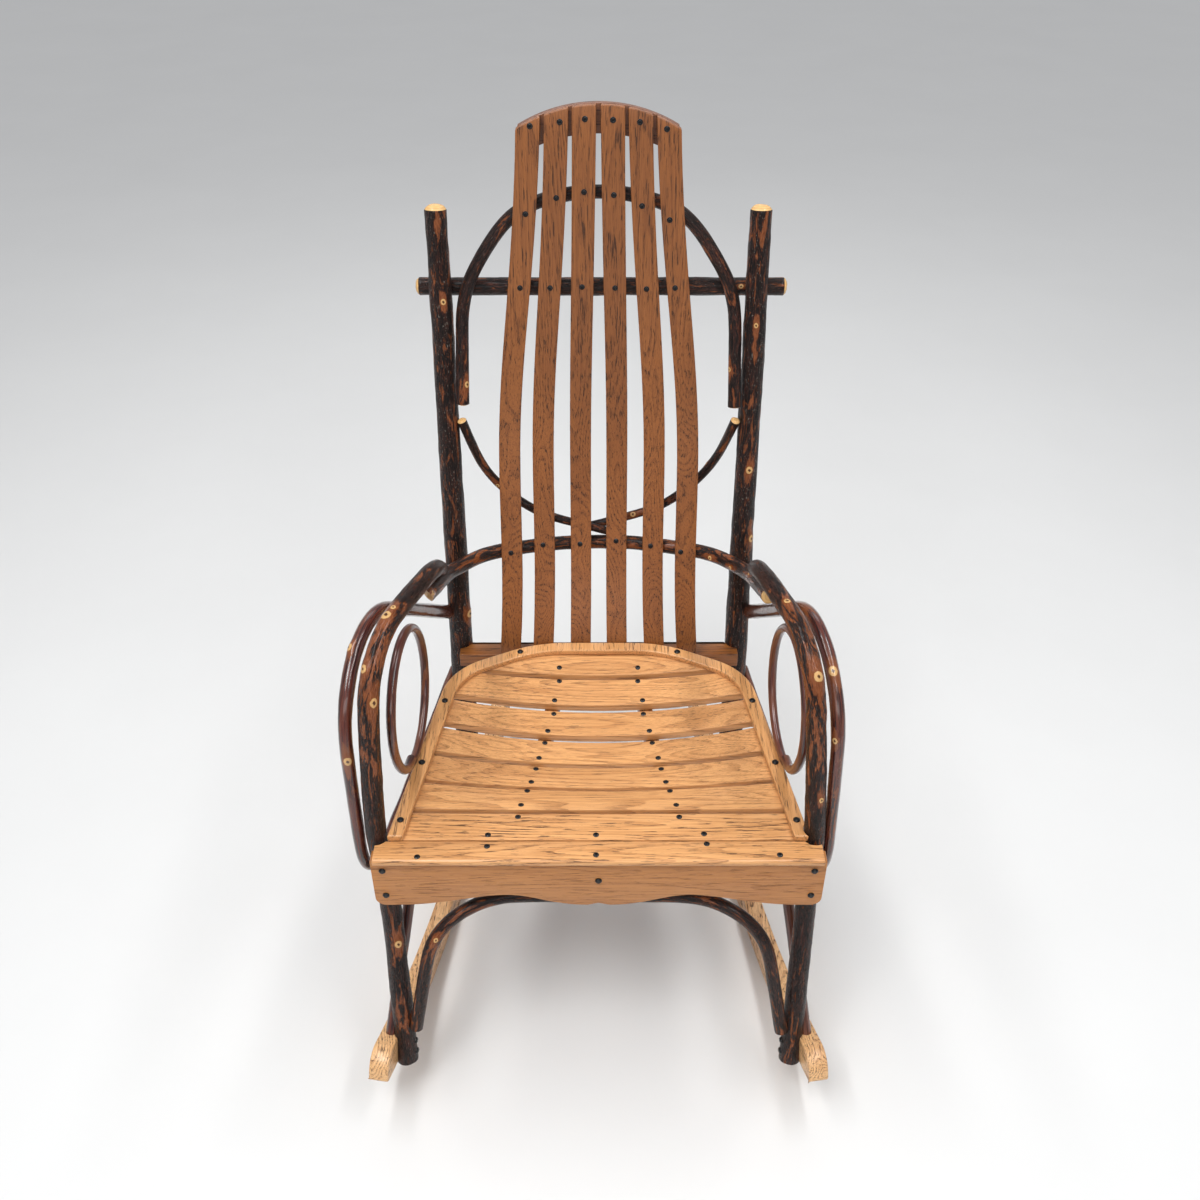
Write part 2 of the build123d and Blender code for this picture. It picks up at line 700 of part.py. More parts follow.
for side, name in ((LEFT, "left"), (RIGHT, "right")):
    post_space = post_bar(side, NAIL_GAP)
    leg_space = leg_arm_stick(side, NAIL_GAP)

    leg_arm = largest(leg_arm_stick(side) + arm_tenon(side))
    leg_arm = largest(leg_arm - (post_space - arm_tenon(side)))
    leg_arm = largest(leg_arm - rocker_blank(side, NAIL_GAP) - apron_space)
    leg_arm = drilled(leg_arm, apron_screws(side), APRON_SCREW_LENGTH)
    leg_arm = largest(drilled(spot_faced(leg_arm, leg_screws(side)), leg_screws(side), LEG_SCREW_LENGTH))
    keep(f"leg_arm_{name}", leg_arm)

    rocker = rocker_blank(side) - foot_tenon(side, TENON_CLEARANCE)
    rocker = drilled(rocker, leg_screws(side), LEG_SCREW_LENGTH)
    keep(f"rocker_{name}", rocker)

    post = (post_bar(side) & above_rocker(side)) + foot_tenon(side)
    post = post - arm_tenon(side, TENON_CLEARANCE) - rail_tenon(side, TENON_CLEARANCE)
    post = fillet(post.edges().sort_by(Axis.Z)[-1], POST_DOME)
    keep(f"back_post_{name}", largest(post))

    hoop = arm_hoop_stick(side) - post_space - leg_space
    keep(f"arm_hoop_{name}", largest(hoop))
    keep(f"arm_loop_{name}", largest(loop_ring(side) - leg_space))
    keep(f"side_bow_{name}", largest((side_bow_stick(side) & above_rocker(side)) - leg_space - post_space))

front_arch = front_arch_stick()
for side in (LEFT, RIGHT):
    front_arch = largest(front_arch - leg_arm_stick(side, NAIL_GAP))
keep("front_arch_bow", front_arch)

# Back: slats, crest board and the saplings nailed behind them

for index in range(6):
    side = RIGHT if index > 2 else LEFT
    number = index - 3 if side == RIGHT else 2 - index
    slat = slat_band(number, 0, SLAT_THICKNESS, POST_X) & front_view(slat_outline(number), side)
    slat = slat & front_view(crest_disc())
    keep(f"back_slat_{index + 1}", largest(slat))

crest_back = SLAT_THICKNESS + NAIL_GAP
crest_shape = crest_disc() - crest_disc(-CREST_BOARD_HEIGHT)
crest_shape &= Pos(0, CREST_Z) * Rectangle(2 * CREST_BOARD_HALF_WIDTH, BIG)
crest = slat_band(0, crest_back, crest_back + CREST_BOARD_THICKNESS, POST_X) & front_view(crest_shape)
keep("crest_board", largest(crest))


def nailed_to_posts(shape):
    """A stick coped where it meets the two back posts."""
    for side in (LEFT, RIGHT):
        shape = largest(shape - post_bar(side, NAIL_GAP))
    return shape


crossbar_y = behind_slats(CROSSBAR_Z, SLAT_THICKNESS + NAIL_GAP + CROSSBAR_DIAMETER / 2)
crossbar_ends = [(x, crossbar_y, CROSSBAR_Z) for x in CROSSBAR_ENDS]
crossbar = stick(crossbar_ends, None, CROSSBAR_DIAMETER, CROSSBAR_DIAMETER)
keep("top_crossbar", nailed_to_posts(crossbar))

hoop_top_z = 1093.0
hoop_top_y = behind_slats(hoop_top_z, SLAT_THICKNESS + NAIL_GAP + BACK_HOOP_DIAMETER / 2)
hoop_foot_z = 808.0
hoop_foot_y = post_point(RIGHT, hoop_foot_z)[1] - 17
hoop_half = [
    (POST_X - 25, hoop_foot_y, hoop_foot_z),
    (192, crossbar_y - (CROSSBAR_DIAMETER + BACK_HOOP_DIAMETER) / 2, CROSSBAR_Z + 4),
    (120, hoop_top_y + 1, 1068),
]
hoop_corners = mirrored(LEFT, hoop_half) + [(0, hoop_top_y + 1, 1099)] + mirrored(RIGHT, hoop_half[::-1])
back_hoop = stick(hoop_corners, [130, 100, 240, 100, 130], BACK_HOOP_DIAMETER, BACK_HOOP_DIAMETER)
keep("back_hoop", nailed_to_posts(back_hoop) - stick(crossbar_ends, None, CROSSBAR_DIAMETER, CROSSBAR_DIAMETER, NAIL_GAP))

twig_depth = SLAT_THICKNESS + NAIL_GAP + TWIG_DIAMETER / 2
for side, name, depth in ((LEFT, "left", twig_depth), (RIGHT, "right", twig_depth + TWIG_DIAMETER + NAIL_GAP)):
    corners = [
        (POST_X - 21, post_point(side, 778)[1] - 8, 778),
        (174, behind_slats(674, depth) + 1, 674),
        (100, behind_slats(616, depth) + 1, 616),
        (-16, behind_slats(588, depth), 588),
    ]
    twig = stick(mirrored(side, corners), [120, 150], TWIG_DIAMETER, TWIG_DIAMETER * 0.9)
    keep(f"back_twig_{name}", nailed_to_posts(twig))

bow_z = 569.0
bow_depth = SLAT_THICKNESS + NAIL_GAP + ARM_BOW_DIAMETER / 2
bow_ys = [behind_slats(bow_z, bow_depth, number) for number in range(3)]
waist_xs = [waist_place(number) + SLAT_WIDTH / 2 for number in range(3)]
bow_slope = (bow_ys[1] - bow_ys[2]) / (waist_xs[2] - waist_xs[1])
bow_corner_y = bow_ys[2] + bow_slope * waist_xs[2] + 4 * NAIL_GAP
bow_bend = (bow_corner_y - bow_ys[0] - 3) / (sqrt(1 + bow_slope**2) - 1)
bow_half = [
    (229, -50, 655),
    (222, 90, 592),
    (176, bow_corner_y - bow_slope * 176, bow_z),
    (0, bow_corner_y, bow_z),
]
bow_corners = mirrored(LEFT, bow_half) + mirrored(RIGHT, bow_half[-2::-1])
arm_bow = stick(bow_corners, [80, 50, bow_bend, 50, 80], ARM_BOW_DIAMETER, ARM_BOW_DIAMETER)
for side in (LEFT, RIGHT):
    arm_bow = largest(arm_bow - leg_arm_stick(side, NAIL_GAP))
keep("arm_bow", arm_bow)

rail_depth_front = rail_front()
rail_middle_y = rail_depth_front + REAR_RAIL_DEPTH / 2
rail_middle_z = REAR_RAIL_Z + REAR_RAIL_HEIGHT / 2
rear_rail = Pos(0, rail_middle_y, rail_middle_z) * Box(2 * POST_X, REAR_RAIL_DEPTH, REAR_RAIL_HEIGHT)
rear_rail = nailed_to_posts(rear_rail)
for side in (LEFT, RIGHT):
    rear_rail = largest(rear_rail + rail_tenon(side))
keep("seat_rear_rail", rear_rail)

# Seat: boards, rim, apron and battens

board_space = plan_view(seat_outline(RIM_WIDTH / 2 - 3))
leg_spaces = [leg_arm_stick(side, 1.0) for side in (LEFT, RIGHT)]
for number, front in enumerate(BOARD_FRONTS):
    board = seat_board(front) & board_space
    if number == 0:
        board = board - leg_spaces[0] - leg_spaces[1]
    board = drilled(largest(board), rim_screws(), RIM_SCREW_LENGTH)
    keep(f"seat_board_{number + 2}", board)

nose_board = front_board()
for side in (LEFT, RIGHT):
    nose_board = largest(nose_board - leg_arm_stick(side, FRONT_BOARD_LEG_GAP))
keep("seat_board_1", nose_board)
front_apron = drilled(apron(), apron_screws(LEFT) + apron_screws(RIGHT), APRON_SCREW_LENGTH)
keep("front_apron", drilled(front_apron, [MIDDLE_SCREW], MIDDLE_SCREW_LENGTH))

rim = seat_outline(RIM_WIDTH / 2) - seat_outline(-RIM_WIDTH / 2)
rim &= Pos(0, RIM_END + BIG / 2) * Rectangle(BIG, BIG)
rim = Pos(0, 0, SEAT_Z + NAIL_GAP) * extrude(rim, RIM_THICKNESS)
rim = fillet(rim.edges().group_by(Axis.Z)[-1].filter_by(GeomType.LINE), 2.5)
rim = largest(rim - leg_spaces[0] - leg_spaces[1])
keep("seat_rim", drilled(rim, rim_screws(), RIM_SCREW_LENGTH))

for side, name in ((LEFT, "left"), (RIGHT, "right")):
    keep(f"seat_batten_{name}", batten(side))

# Screws that show

keep("leg_screws", screw_group(leg_screws(LEFT) + leg_screws(RIGHT), LEG_SCREW_LENGTH))
apron_group = screw_group(apron_screws(LEFT) + apron_screws(RIGHT), APRON_SCREW_LENGTH)
middle_group = screw_group([MIDDLE_SCREW], MIDDLE_SCREW_LENGTH)
keep("apron_screws", Compound(children=[*apron_group.solids(), *middle_group.solids()]))
keep("rim_screws", screw_group(rim_screws(), RIM_SCREW_LENGTH))
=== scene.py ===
import json
import math

import bpy
import mathutils
from mathutils import Matrix, Vector

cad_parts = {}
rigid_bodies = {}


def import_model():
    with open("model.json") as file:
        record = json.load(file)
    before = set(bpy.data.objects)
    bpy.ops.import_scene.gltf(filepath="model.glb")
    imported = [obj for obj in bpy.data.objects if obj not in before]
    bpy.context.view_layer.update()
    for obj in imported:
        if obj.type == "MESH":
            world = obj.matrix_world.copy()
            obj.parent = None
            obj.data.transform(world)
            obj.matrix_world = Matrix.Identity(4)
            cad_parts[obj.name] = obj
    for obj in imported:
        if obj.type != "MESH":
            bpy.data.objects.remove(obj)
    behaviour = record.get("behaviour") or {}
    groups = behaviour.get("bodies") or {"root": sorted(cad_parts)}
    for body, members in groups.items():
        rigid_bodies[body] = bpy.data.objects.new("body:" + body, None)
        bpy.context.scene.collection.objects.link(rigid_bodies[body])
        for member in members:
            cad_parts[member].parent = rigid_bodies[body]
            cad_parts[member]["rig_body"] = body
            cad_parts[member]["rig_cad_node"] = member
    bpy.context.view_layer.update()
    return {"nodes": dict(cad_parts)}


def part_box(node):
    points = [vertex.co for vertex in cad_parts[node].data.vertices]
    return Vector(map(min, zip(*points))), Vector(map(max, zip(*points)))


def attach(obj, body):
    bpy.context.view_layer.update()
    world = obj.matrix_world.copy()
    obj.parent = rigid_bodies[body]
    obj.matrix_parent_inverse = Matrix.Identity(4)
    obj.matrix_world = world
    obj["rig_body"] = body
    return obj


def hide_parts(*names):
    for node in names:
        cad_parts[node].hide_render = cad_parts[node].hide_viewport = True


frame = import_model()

bl_info = {
    "name": "Hickory Rocking Chair",
    "version": (1, 0, 0),
    "blender": (4, 5, 0),
    "location": "View3D > Sidebar > Rocking Chair",
    "description": "Bark, oak and screws for a bent hickory rocking chair",
    "category": "Object",
}

NODES = frame["nodes"]
MM = 0.001
SCREW_NODES = ("leg_screws", "apron_screws", "rim_screws")

# How near two places are taken for one, in metres
NEAR = 1e-5


def both(name):
    """The nodes of a pair, left and right."""
    return name + "_left", name + "_right"


# ------------ the camera and its sight lines

CAMERA_PLACE = Vector((0.002, -1.348, 1.625))
CAMERA_TILT = math.radians(53)
IMAGE_SIZE = 1200
FOCAL_PIXELS = 1200
SENSOR_WIDTH = 36


def sight(column, row):
    """Direction from the camera through a point of its view, counted from the top left corner."""
    ray = Vector((column - IMAGE_SIZE / 2, IMAGE_SIZE / 2 - row, -FOCAL_PIXELS)).normalized()
    return Matrix.Rotation(CAMERA_TILT, 3, "X") @ ray


# ------------ the saplings, as they were bent
# Corners in metres, bends in millimetres, thickness in millimetres at the first and the last corner

LEG_BENDS = (300, 500, 90, 170)
SAPLINGS = {
    "back_post_left": dict(
        corners=[(-0.2210, 0.0899, 0.0270), (-0.2210, 0.2697, 1.0680)], bends=(), thick=(39.2, 30)),
    "leg_arm_left": dict(
        corners=[(-0.2733, -0.3690, 0.0646), (-0.2850, -0.2795, 0.3150), (-0.2925, -0.2785, 0.4400),
                 (-0.2820, -0.2290, 0.7060), (-0.2250, -0.0020, 0.6700), (-0.2380, 0.1693, 0.5330)],
        bends=LEG_BENDS, thick=(30, 23)),
    "leg_arm_right": dict(
        corners=[(0.2733, -0.3690, 0.0646), (0.2850, -0.2795, 0.3150), (0.2835, -0.2785, 0.4400),
                 (0.2640, -0.2290, 0.7060), (0.2190, -0.0020, 0.6700), (0.2380, 0.1693, 0.5330)],
        bends=LEG_BENDS, thick=(30, 23)),
    "arm_hoop_left": dict(
        corners=[(-0.2380, 0.1640, 0.4620), (-0.3230, -0.2220, 0.7710), (-0.3150, -0.2820, 0.3220),
                 (-0.2415, 0.1585, 0.3430)], bends=(122, 62), thick=(23, 11)),
    "arm_hoop_right": dict(
        corners=[(0.2380, 0.1640, 0.4620), (0.2990, -0.2220, 0.7710), (0.3070, -0.2820, 0.3220),
                 (0.2415, 0.1585, 0.3430)], bends=(122, 62), thick=(23, 11)),
    "side_bow_left": dict(
        corners=[(-0.2958, -0.3550, 0.0992), (-0.2280, -0.1040, 0.5012), (-0.2320, 0.0630, 0.0398)],
        bends=(72,), thick=(16.5, 16.5)),
    "front_arch_bow": dict(
        corners=[(-0.2570, -0.3580, 0.1240), (-0.2260, -0.3180, 0.2910), (-0.1500, -0.2830, 0.3180),
                 (0.1500, -0.2830, 0.3180), (0.2260, -0.3180, 0.2910), (0.2570, -0.3580, 0.1240)],
        bends=(78, 125, 125, 78), thick=(18.5, 18.5)),
    "top_crossbar": dict(
        corners=[(-0.2530, 0.2765, 0.9570), (0.2610, 0.2765, 0.9570)], bends=(), thick=(25, 25)),
    "back_hoop": dict(
        corners=[(-0.1960, 0.2078, 0.8080), (-0.1920, 0.2548, 0.9610), (-0.1200, 0.2786, 1.0680),
                 (0.0, 0.2786, 1.0990), (0.1200, 0.2786, 1.0680), (0.1920, 0.2548, 0.9610),
                 (0.1960, 0.2078, 0.8080)], bends=(130, 100, 240, 100, 130), thick=(18.5, 18.5)),
    "back_twig_left": dict(
        corners=[(-0.2000, 0.2116, 0.7780), (-0.1740, 0.2327, 0.6740), (-0.1000, 0.2159, 0.6160),
                 (0.0160, 0.2055, 0.5880)], bends=(120, 150), thick=(14, 12.6)),
    "back_twig_right": dict(
        corners=[(0.2000, 0.2116, 0.7780), (0.1740, 0.2474, 0.6740), (0.1000, 0.2308, 0.6160),
                 (-0.0160, 0.2206, 0.5880)], bends=(120, 150), thick=(14, 12.6)),
    "arm_bow": dict(
        corners=[(-0.2365, -0.0530, 0.6505), (-0.2220, 0.0900, 0.5920), (-0.1760, 0.1732, 0.5690),
                 (0.0, 0.2236, 0.5690), (0.1760, 0.1732, 0.5690), (0.2220, 0.0900, 0.5920),
                 (0.2290, -0.0500, 0.6550)], bends=(80, 50, 446.7, 50, 80), thick=(21.5, 21.5)),
}
for left, right in (both("back_post"), both("side_bow")):
    SAPLINGS[right] = dict(
        SAPLINGS[left], corners=[(-x, y, z) for x, y, z in SAPLINGS[left]["corners"]])

# The waist bow is sawn off at a slant on the left arm: a point of the cut, and where the cut faces
BOW_CUT = Vector((-0.2343, -0.0309, 0.6415))
BOW_CUT_FACING = Vector((-0.77, -0.56, -0.33)).normalized()

# Knots: column and row in the camera's view, and breadth in millimetres
KNOTS = {
    "leg_arm_left": [(398, 943, 11), (373, 703, 11), (363, 668, 10), (386, 614, 13), (393, 606, 8)],
    "leg_arm_right": [(818, 674, 12), (820, 800, 8), (786, 600, 9), (806, 1012, 10)],
    "arm_hoop_left": [(349, 650, 11), (349, 763, 11)],
    "arm_hoop_right": [(834, 674, 12), (836, 742, 8)],
    "back_post_left": [(469, 612, 13), (443, 300, 8)],
    "back_post_right": [(749, 468, 11), (750, 538, 12), (756, 324, 7)],
    "arm_bow": [(450, 588, 8), (467, 574, 8), (711, 557, 8), (731, 567, 7), (751, 573, 9)],
    "back_hoop": [(466, 384, 9), (730, 372, 7)],
    "back_twig_left": [(499, 486, 6)],
    "back_twig_right": [(633, 523, 8), (706, 464, 6)],
    "front_arch_bow": [(437, 938, 7)],
    "side_bow_left": [(399, 955, 6)],
    "top_crossbar": [(742, 286, 7)],
}

# Each sapling's bark is drawn from another place in the noise
SEED_STEP = 1.7

# ------------ lines to bend along

POINT_STEP = 0.006
EASING_PASSES = 24


def rounded(corners, bends):
    """Points along straight runs joined by round bends."""
    corners = [Vector(c) for c in corners]
    line = [corners[0]]
    for before, corner, after, bend in zip(corners, corners[1:], corners[2:], bends):
        back = (before - corner).normalized()
        ahead = (after - corner).normalized()
        half = back.angle(ahead) / 2
        radius = bend * MM
        middle = corner + (back + ahead).normalized() * (radius / math.sin(half))
        first = corner + back * (radius / math.tan(half)) - middle
        last = corner + ahead * (radius / math.tan(half)) - middle
        turn = first.angle(last)
        count = max(2, math.ceil(turn * radius / POINT_STEP))
        for i in range(count + 1):
            share = i / count
            spoke = first * math.sin((1 - share) * turn) + last * math.sin(share * turn)
            line.append(middle + spoke / math.sin(turn))
    line.append(corners[-1])
    return line


def evened(line):
    """The same line with its points spread evenly, and its length."""
    runs = [(b - a).length for a, b in zip(line, line[1:])]
    whole = sum(runs)
    count = round(whole / POINT_STEP)
    points = []
    run = 0
    done = 0.0
    for i in range(count + 1):
        at = whole * i / count
        while run < len(runs) - 1 and at > done + runs[run]:
            done += runs[run]
            run += 1
        points.append(line[run].lerp(line[run + 1], min(1.0, (at - done) / runs[run])))
    return points, whole


def relaxed(points):
    """The same line with its bends eased into its straight runs, as green wood takes them."""
    for _ in range(EASING_PASSES):
        points = [points[0]] + [
            (before + 2 * point + after) / 4
            for before, point, after in zip(points, points[1:], points[2:])
        ] + [points[-1]]
    return points


# ------------ work in the viewport


def set_mode(mode):
    bpy.ops.object.mode_set(mode=mode)


def clear_selection():
    if bpy.context.object and bpy.context.object.mode != "OBJECT":
        set_mode("OBJECT")
    bpy.ops.object.select_all(action="DESELECT")


def pick(piece):
    clear_selection()
    piece.select_set(True)
    bpy.context.view_layer.objects.active = piece


def finish_piece(piece, node, material, smooth=40):
    """Shade, paint, fasten to the chair and, for a node, take its place."""
    pick(piece)
    bpy.ops.object.shade_smooth_by_angle(angle=math.radians(smooth))
    piece.data.materials.clear()
    piece.data.materials.append(material)
    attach(piece, "root")
    if node:
        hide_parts(node)


def select_faces(piece, wanted):
    bpy.ops.mesh.select_mode(type="FACE")
    bpy.ops.mesh.select_all(action="DESELECT")
    set_mode("OBJECT")
    for face in piece.data.polygons:
        face.select = wanted(face)
    set_mode("EDIT")


# ------------ barked sticks

RING_STEP = 0.0035
# Insets of a domed end in shares of its radius, each with its rise in shares of the dome's height
DOME_STEPS = ((0.09, 0.32), (0.14, 0.28), (0.18, 0.21), (0.22, 0.12), (0.23, 0.06))
# Breadth, depth and length of the lumps and of the ridges
LUMP_GRAIN = (0.03, 0.03, 0.07)
RIDGE_GRAIN = (0.0035, 0.0035, 0.022)
RIDGE_SEED = 0.4
# Knots: how far along they are looked for, the farthest that is noted, their mean radius and that at the back
KNOT_WINDOW = 0.07
KNOT_FARTHEST = 0.05
KNOT_MEAN = 0.0055
KNOT_BEHIND = 0.0032
KNOT_RISE = 0.30
# A sample of the points is enough to find a stick's girth
GIRTH_SAMPLE = 97


def straight_sapling(name, length, first, last, sides, dome):
    """A tapering stick along +Z from the origin, ringed every few millimetres, with domed ends."""
    clear_selection()
    bpy.ops.mesh.primitive_cone_add(
        vertices=sides, radius1=first, radius2=last, depth=length, end_fill_type="NGON",
        location=(0, 0, length / 2))
    piece = bpy.context.object
    piece.name = name
    piece.data.name = name
    bpy.ops.object.transform_apply(location=True, rotation=True, scale=True)
    set_mode("EDIT")
    cuts = max(3, round(math.sqrt(length / RING_STEP)))
    for _ in range(2):
        bpy.ops.mesh.select_mode(type="EDGE")
        bpy.ops.mesh.select_all(action="DESELECT")
        set_mode("OBJECT")
        spots = piece.data.vertices
        for edge in piece.data.edges:
            a, b = (spots[i].co for i in edge.vertices)
            edge.select = abs(a.z - b.z) > NEAR
        set_mode("EDIT")
        bpy.ops.mesh.subdivide(number_cuts=cuts - 1)
    for end, radius, outward in ((0.0, first, -1), (length, last, 1)):
        select_faces(piece, lambda face: abs(face.center.z - end) < NEAR)
        for share, rise in DOME_STEPS:
            bpy.ops.mesh.inset(thickness=radius * share, depth=0)
            bpy.ops.transform.translate(value=(0, 0, outward * dome * rise))
        bpy.ops.mesh.poke()
    set_mode("OBJECT")
    return piece


def roughen(piece, grain, strength, seed):
    """Push the surface in and out with a noise that is stretched along the stick."""
    clear_selection()
    bpy.ops.object.empty_add(location=(seed, seed * 0.7, seed * 1.3))
    gauge = bpy.context.object
    gauge.scale = grain
    texture = bpy.data.textures.new(piece.name + "_clouds", "CLOUDS")
    texture.noise_scale = 1.0
    bpy.context.view_layer.update()
    push = piece.modifiers.new("bark", "DISPLACE")
    push.texture = texture
    push.texture_coords = "OBJECT"
    push.texture_coords_object = gauge
    push.strength = strength
    push.mid_level = 0.5
    pick(piece)
    bpy.ops.object.modifier_apply(modifier=push.name)
    pick(gauge)
    bpy.ops.object.delete()
    bpy.data.textures.remove(texture)


def note(piece, name, values, kind="FLOAT"):
    """Store a value on every vertex for the bark to read."""
    layer = piece.data.attributes.new(name, kind, "POINT")
    layer.data.foreach_set("vector" if kind == "FLOAT_VECTOR" else "value", values)


def bend_along(piece, points):
    """Bend a straight piece to a line."""
    clear_selection()
    bpy.ops.curve.primitive_nurbs_path_add(location=(0, 0, 0))
    line = bpy.context.object
    line.data.splines.clear()
    spline = line.data.splines.new("POLY")
    spline.points.add(len(points) - 1)
    for point, place in zip(spline.points, points):
        point.co = (*place, 1)
    line.data.use_path = True
    line.data.use_stretch = False
    line.data.use_deform_bounds = False
    bend = piece.modifiers.new("bend", "CURVE")
    bend.object = line
    bend.deform_axis = "POS_Z"
    bpy.context.view_layer.update()
    pick(piece)
    bpy.ops.object.modifier_apply(modifier=bend.name)
    pick(line)
    bpy.ops.object.delete()


def knot_hearts(piece, grain, knots, count, seed):
    """Places on the straight stick and radii of the knots that are seen, and of a few more round the back."""
    mesh = piece.data
    hearts = []
    for column, row, breadth in knots:
        ray = sight(column, row)
        hit, _, _, face = piece.ray_cast(CAMERA_PLACE, ray)
        if not hit:
            near = CAMERA_PLACE + ray * (mesh.vertices[0].co - CAMERA_PLACE).length
            _, _, _, face = piece.closest_point_on_mesh(near)
        hearts.append((grain[mesh.polygons[face].vertices[0]], breadth * MM / 2))
    noise = mathutils.noise.noise
    length = max(at.z for at in grain)
    girth = max(abs(at.x) for at in grain[::GIRTH_SAMPLE])
    for i in range(count):
        turn = math.tau * (0.5 + noise(Vector((seed, i * 3.7, 1.3))))
        along = length * (i + 0.5 + 0.6 * noise(Vector((seed, i * 1.9, 7.7)))) / count
        hearts.append((Vector((girth * math.cos(turn), girth * math.sin(turn), along)), KNOT_BEHIND))
    return hearts


def grow_knots(piece, knots, count, seed):
    """Raise the knots, and note how far each point lies from one and from the peeled bark round it."""
    mesh = piece.data
    grain = [Vector(item.vector) for item in mesh.attributes["grain"].data]
    hearts = knot_hearts(piece, grain, knots, count, seed)
    knot = []
    peel = []
    moved = []
    for vertex, at in zip(mesh.vertices, grain):
        nearest = KNOT_FARTHEST
        patch = 1.0
        rise = 0.0
        for heart, size in hearts:
            along = at.z - heart.z
            if abs(along) > KNOT_WINDOW:
                continue
            across = math.hypot(at.x - heart.x, at.y - heart.y)
            away = math.hypot(along * 0.85, across)
            nearest = min(nearest, away * KNOT_MEAN / size)
            patch = min(patch, math.hypot(along / (size * 6), across / (size * 1.9)))
            rise = max(rise, size * KNOT_RISE * math.exp(-((away / (size * 1.3)) ** 2)))
        knot.append(nearest)
        peel.append(patch)
        moved.append(vertex.co + vertex.normal * rise)
    for vertex, place in zip(mesh.vertices, moved):
        vertex.co = place
    note(piece, "knot", knot)
    note(piece, "peel", peel)


def saw_off(piece, place, facing):
    """Cut a stick at a slant and leave pale wood on the cut."""
    pick(piece)
    set_mode("EDIT")
    bpy.ops.mesh.select_all(action="SELECT")
    bpy.ops.mesh.bisect(plane_co=place, plane_no=facing, use_fill=True, clear_outer=True)
    select_faces(piece, lambda face: len(face.vertices) > 8 and abs((face.center - place).dot(facing)) < NEAR)
    bpy.ops.mesh.inset(thickness=0.0007, depth=0)
    set_mode("OBJECT")
    cut = piece.data.attributes["cut"].data
    for face in piece.data.polygons:
        if face.select:
            for corner in face.vertices:
                cut[corner].value = 1.0


def rubbing(height, low, high):
    """How much the bark is rubbed: fully between two heights, and a tenth far from there."""
    return min(1.0, max(0.1, min(height - low, high - height) * 8 + 0.5))


def bent_sapling(name, points, length, thick, seed, sides=32, ridges=0.0010, lumps=0.0016, dome=0.002,
                 knots=(), more_knots=1, worn=(-1.0, 9.0)):
    """One bark-covered stick: turned straight, barked, bent to its line, and knotted."""
    first, last = (value * MM / 2 for value in thick)
    piece = straight_sapling(name, length, first, last, sides, dome)
    coordinates = [0.0] * (3 * len(piece.data.vertices))
    piece.data.vertices.foreach_get("co", coordinates)
    heights = coordinates[2::3]
    grain = [value + (seed if i % 3 == 2 else 0) for i, value in enumerate(coordinates)]
    note(piece, "grain", grain, "FLOAT_VECTOR")
    note(piece, "cut", [float(z < -NEAR or z > length + NEAR) for z in heights])
    note(piece, "wear", [rubbing(z, *worn) for z in heights])
    roughen(piece, LUMP_GRAIN, lumps, seed)
    roughen(piece, RIDGE_GRAIN, ridges, seed + RIDGE_SEED)
    bend_along(piece, points)
    pick(piece)
    set_mode("EDIT")
    bpy.ops.mesh.select_all(action="SELECT")
    bpy.ops.mesh.normals_make_consistent(inside=False)
    set_mode("OBJECT")
    grow_knots(piece, knots, more_knots, seed)
    return piece


# ------------ shader maths


def plug(tree, slot, item):
    """Link a value to a socket, or set the socket to a number, a vector or a colour."""
    if isinstance(item, Value):
        tree.links.new(item.socket, slot)
    else:
        slot.default_value = (*item, 1) if slot.type == "RGBA" else item


class Value:
    """A socket that takes part in sums; each sum adds a Math node."""

    def __init__(self, tree, socket):
        self.tree = tree
        self.socket = socket

    def output(self, key):
        """Another output of the same node."""
        return Value(self.tree, self.socket.node.outputs[key])

    def math(self, operation, *items):
        node = self.tree.nodes.new("ShaderNodeMath")
        node.operation = operation
        for slot, item in zip(node.inputs, items):
            plug(self.tree, slot, item)
        return Value(self.tree, node.outputs[0])

    def __add__(self, other):
        return self.math("ADD", self, other)

    def __radd__(self, other):
        return self.math("ADD", other, self)

    def __sub__(self, other):
        return self.math("SUBTRACT", self, other)

    def __rsub__(self, other):
        return self.math("SUBTRACT", other, self)

    def __mul__(self, other):
        return self.math("MULTIPLY", self, other)

    def __rmul__(self, other):
        return self.math("MULTIPLY", other, self)

    def fraction(self):
        return self.math("FRACT", self)

    def larger(self, other):
        return self.math("MAXIMUM", self, other)


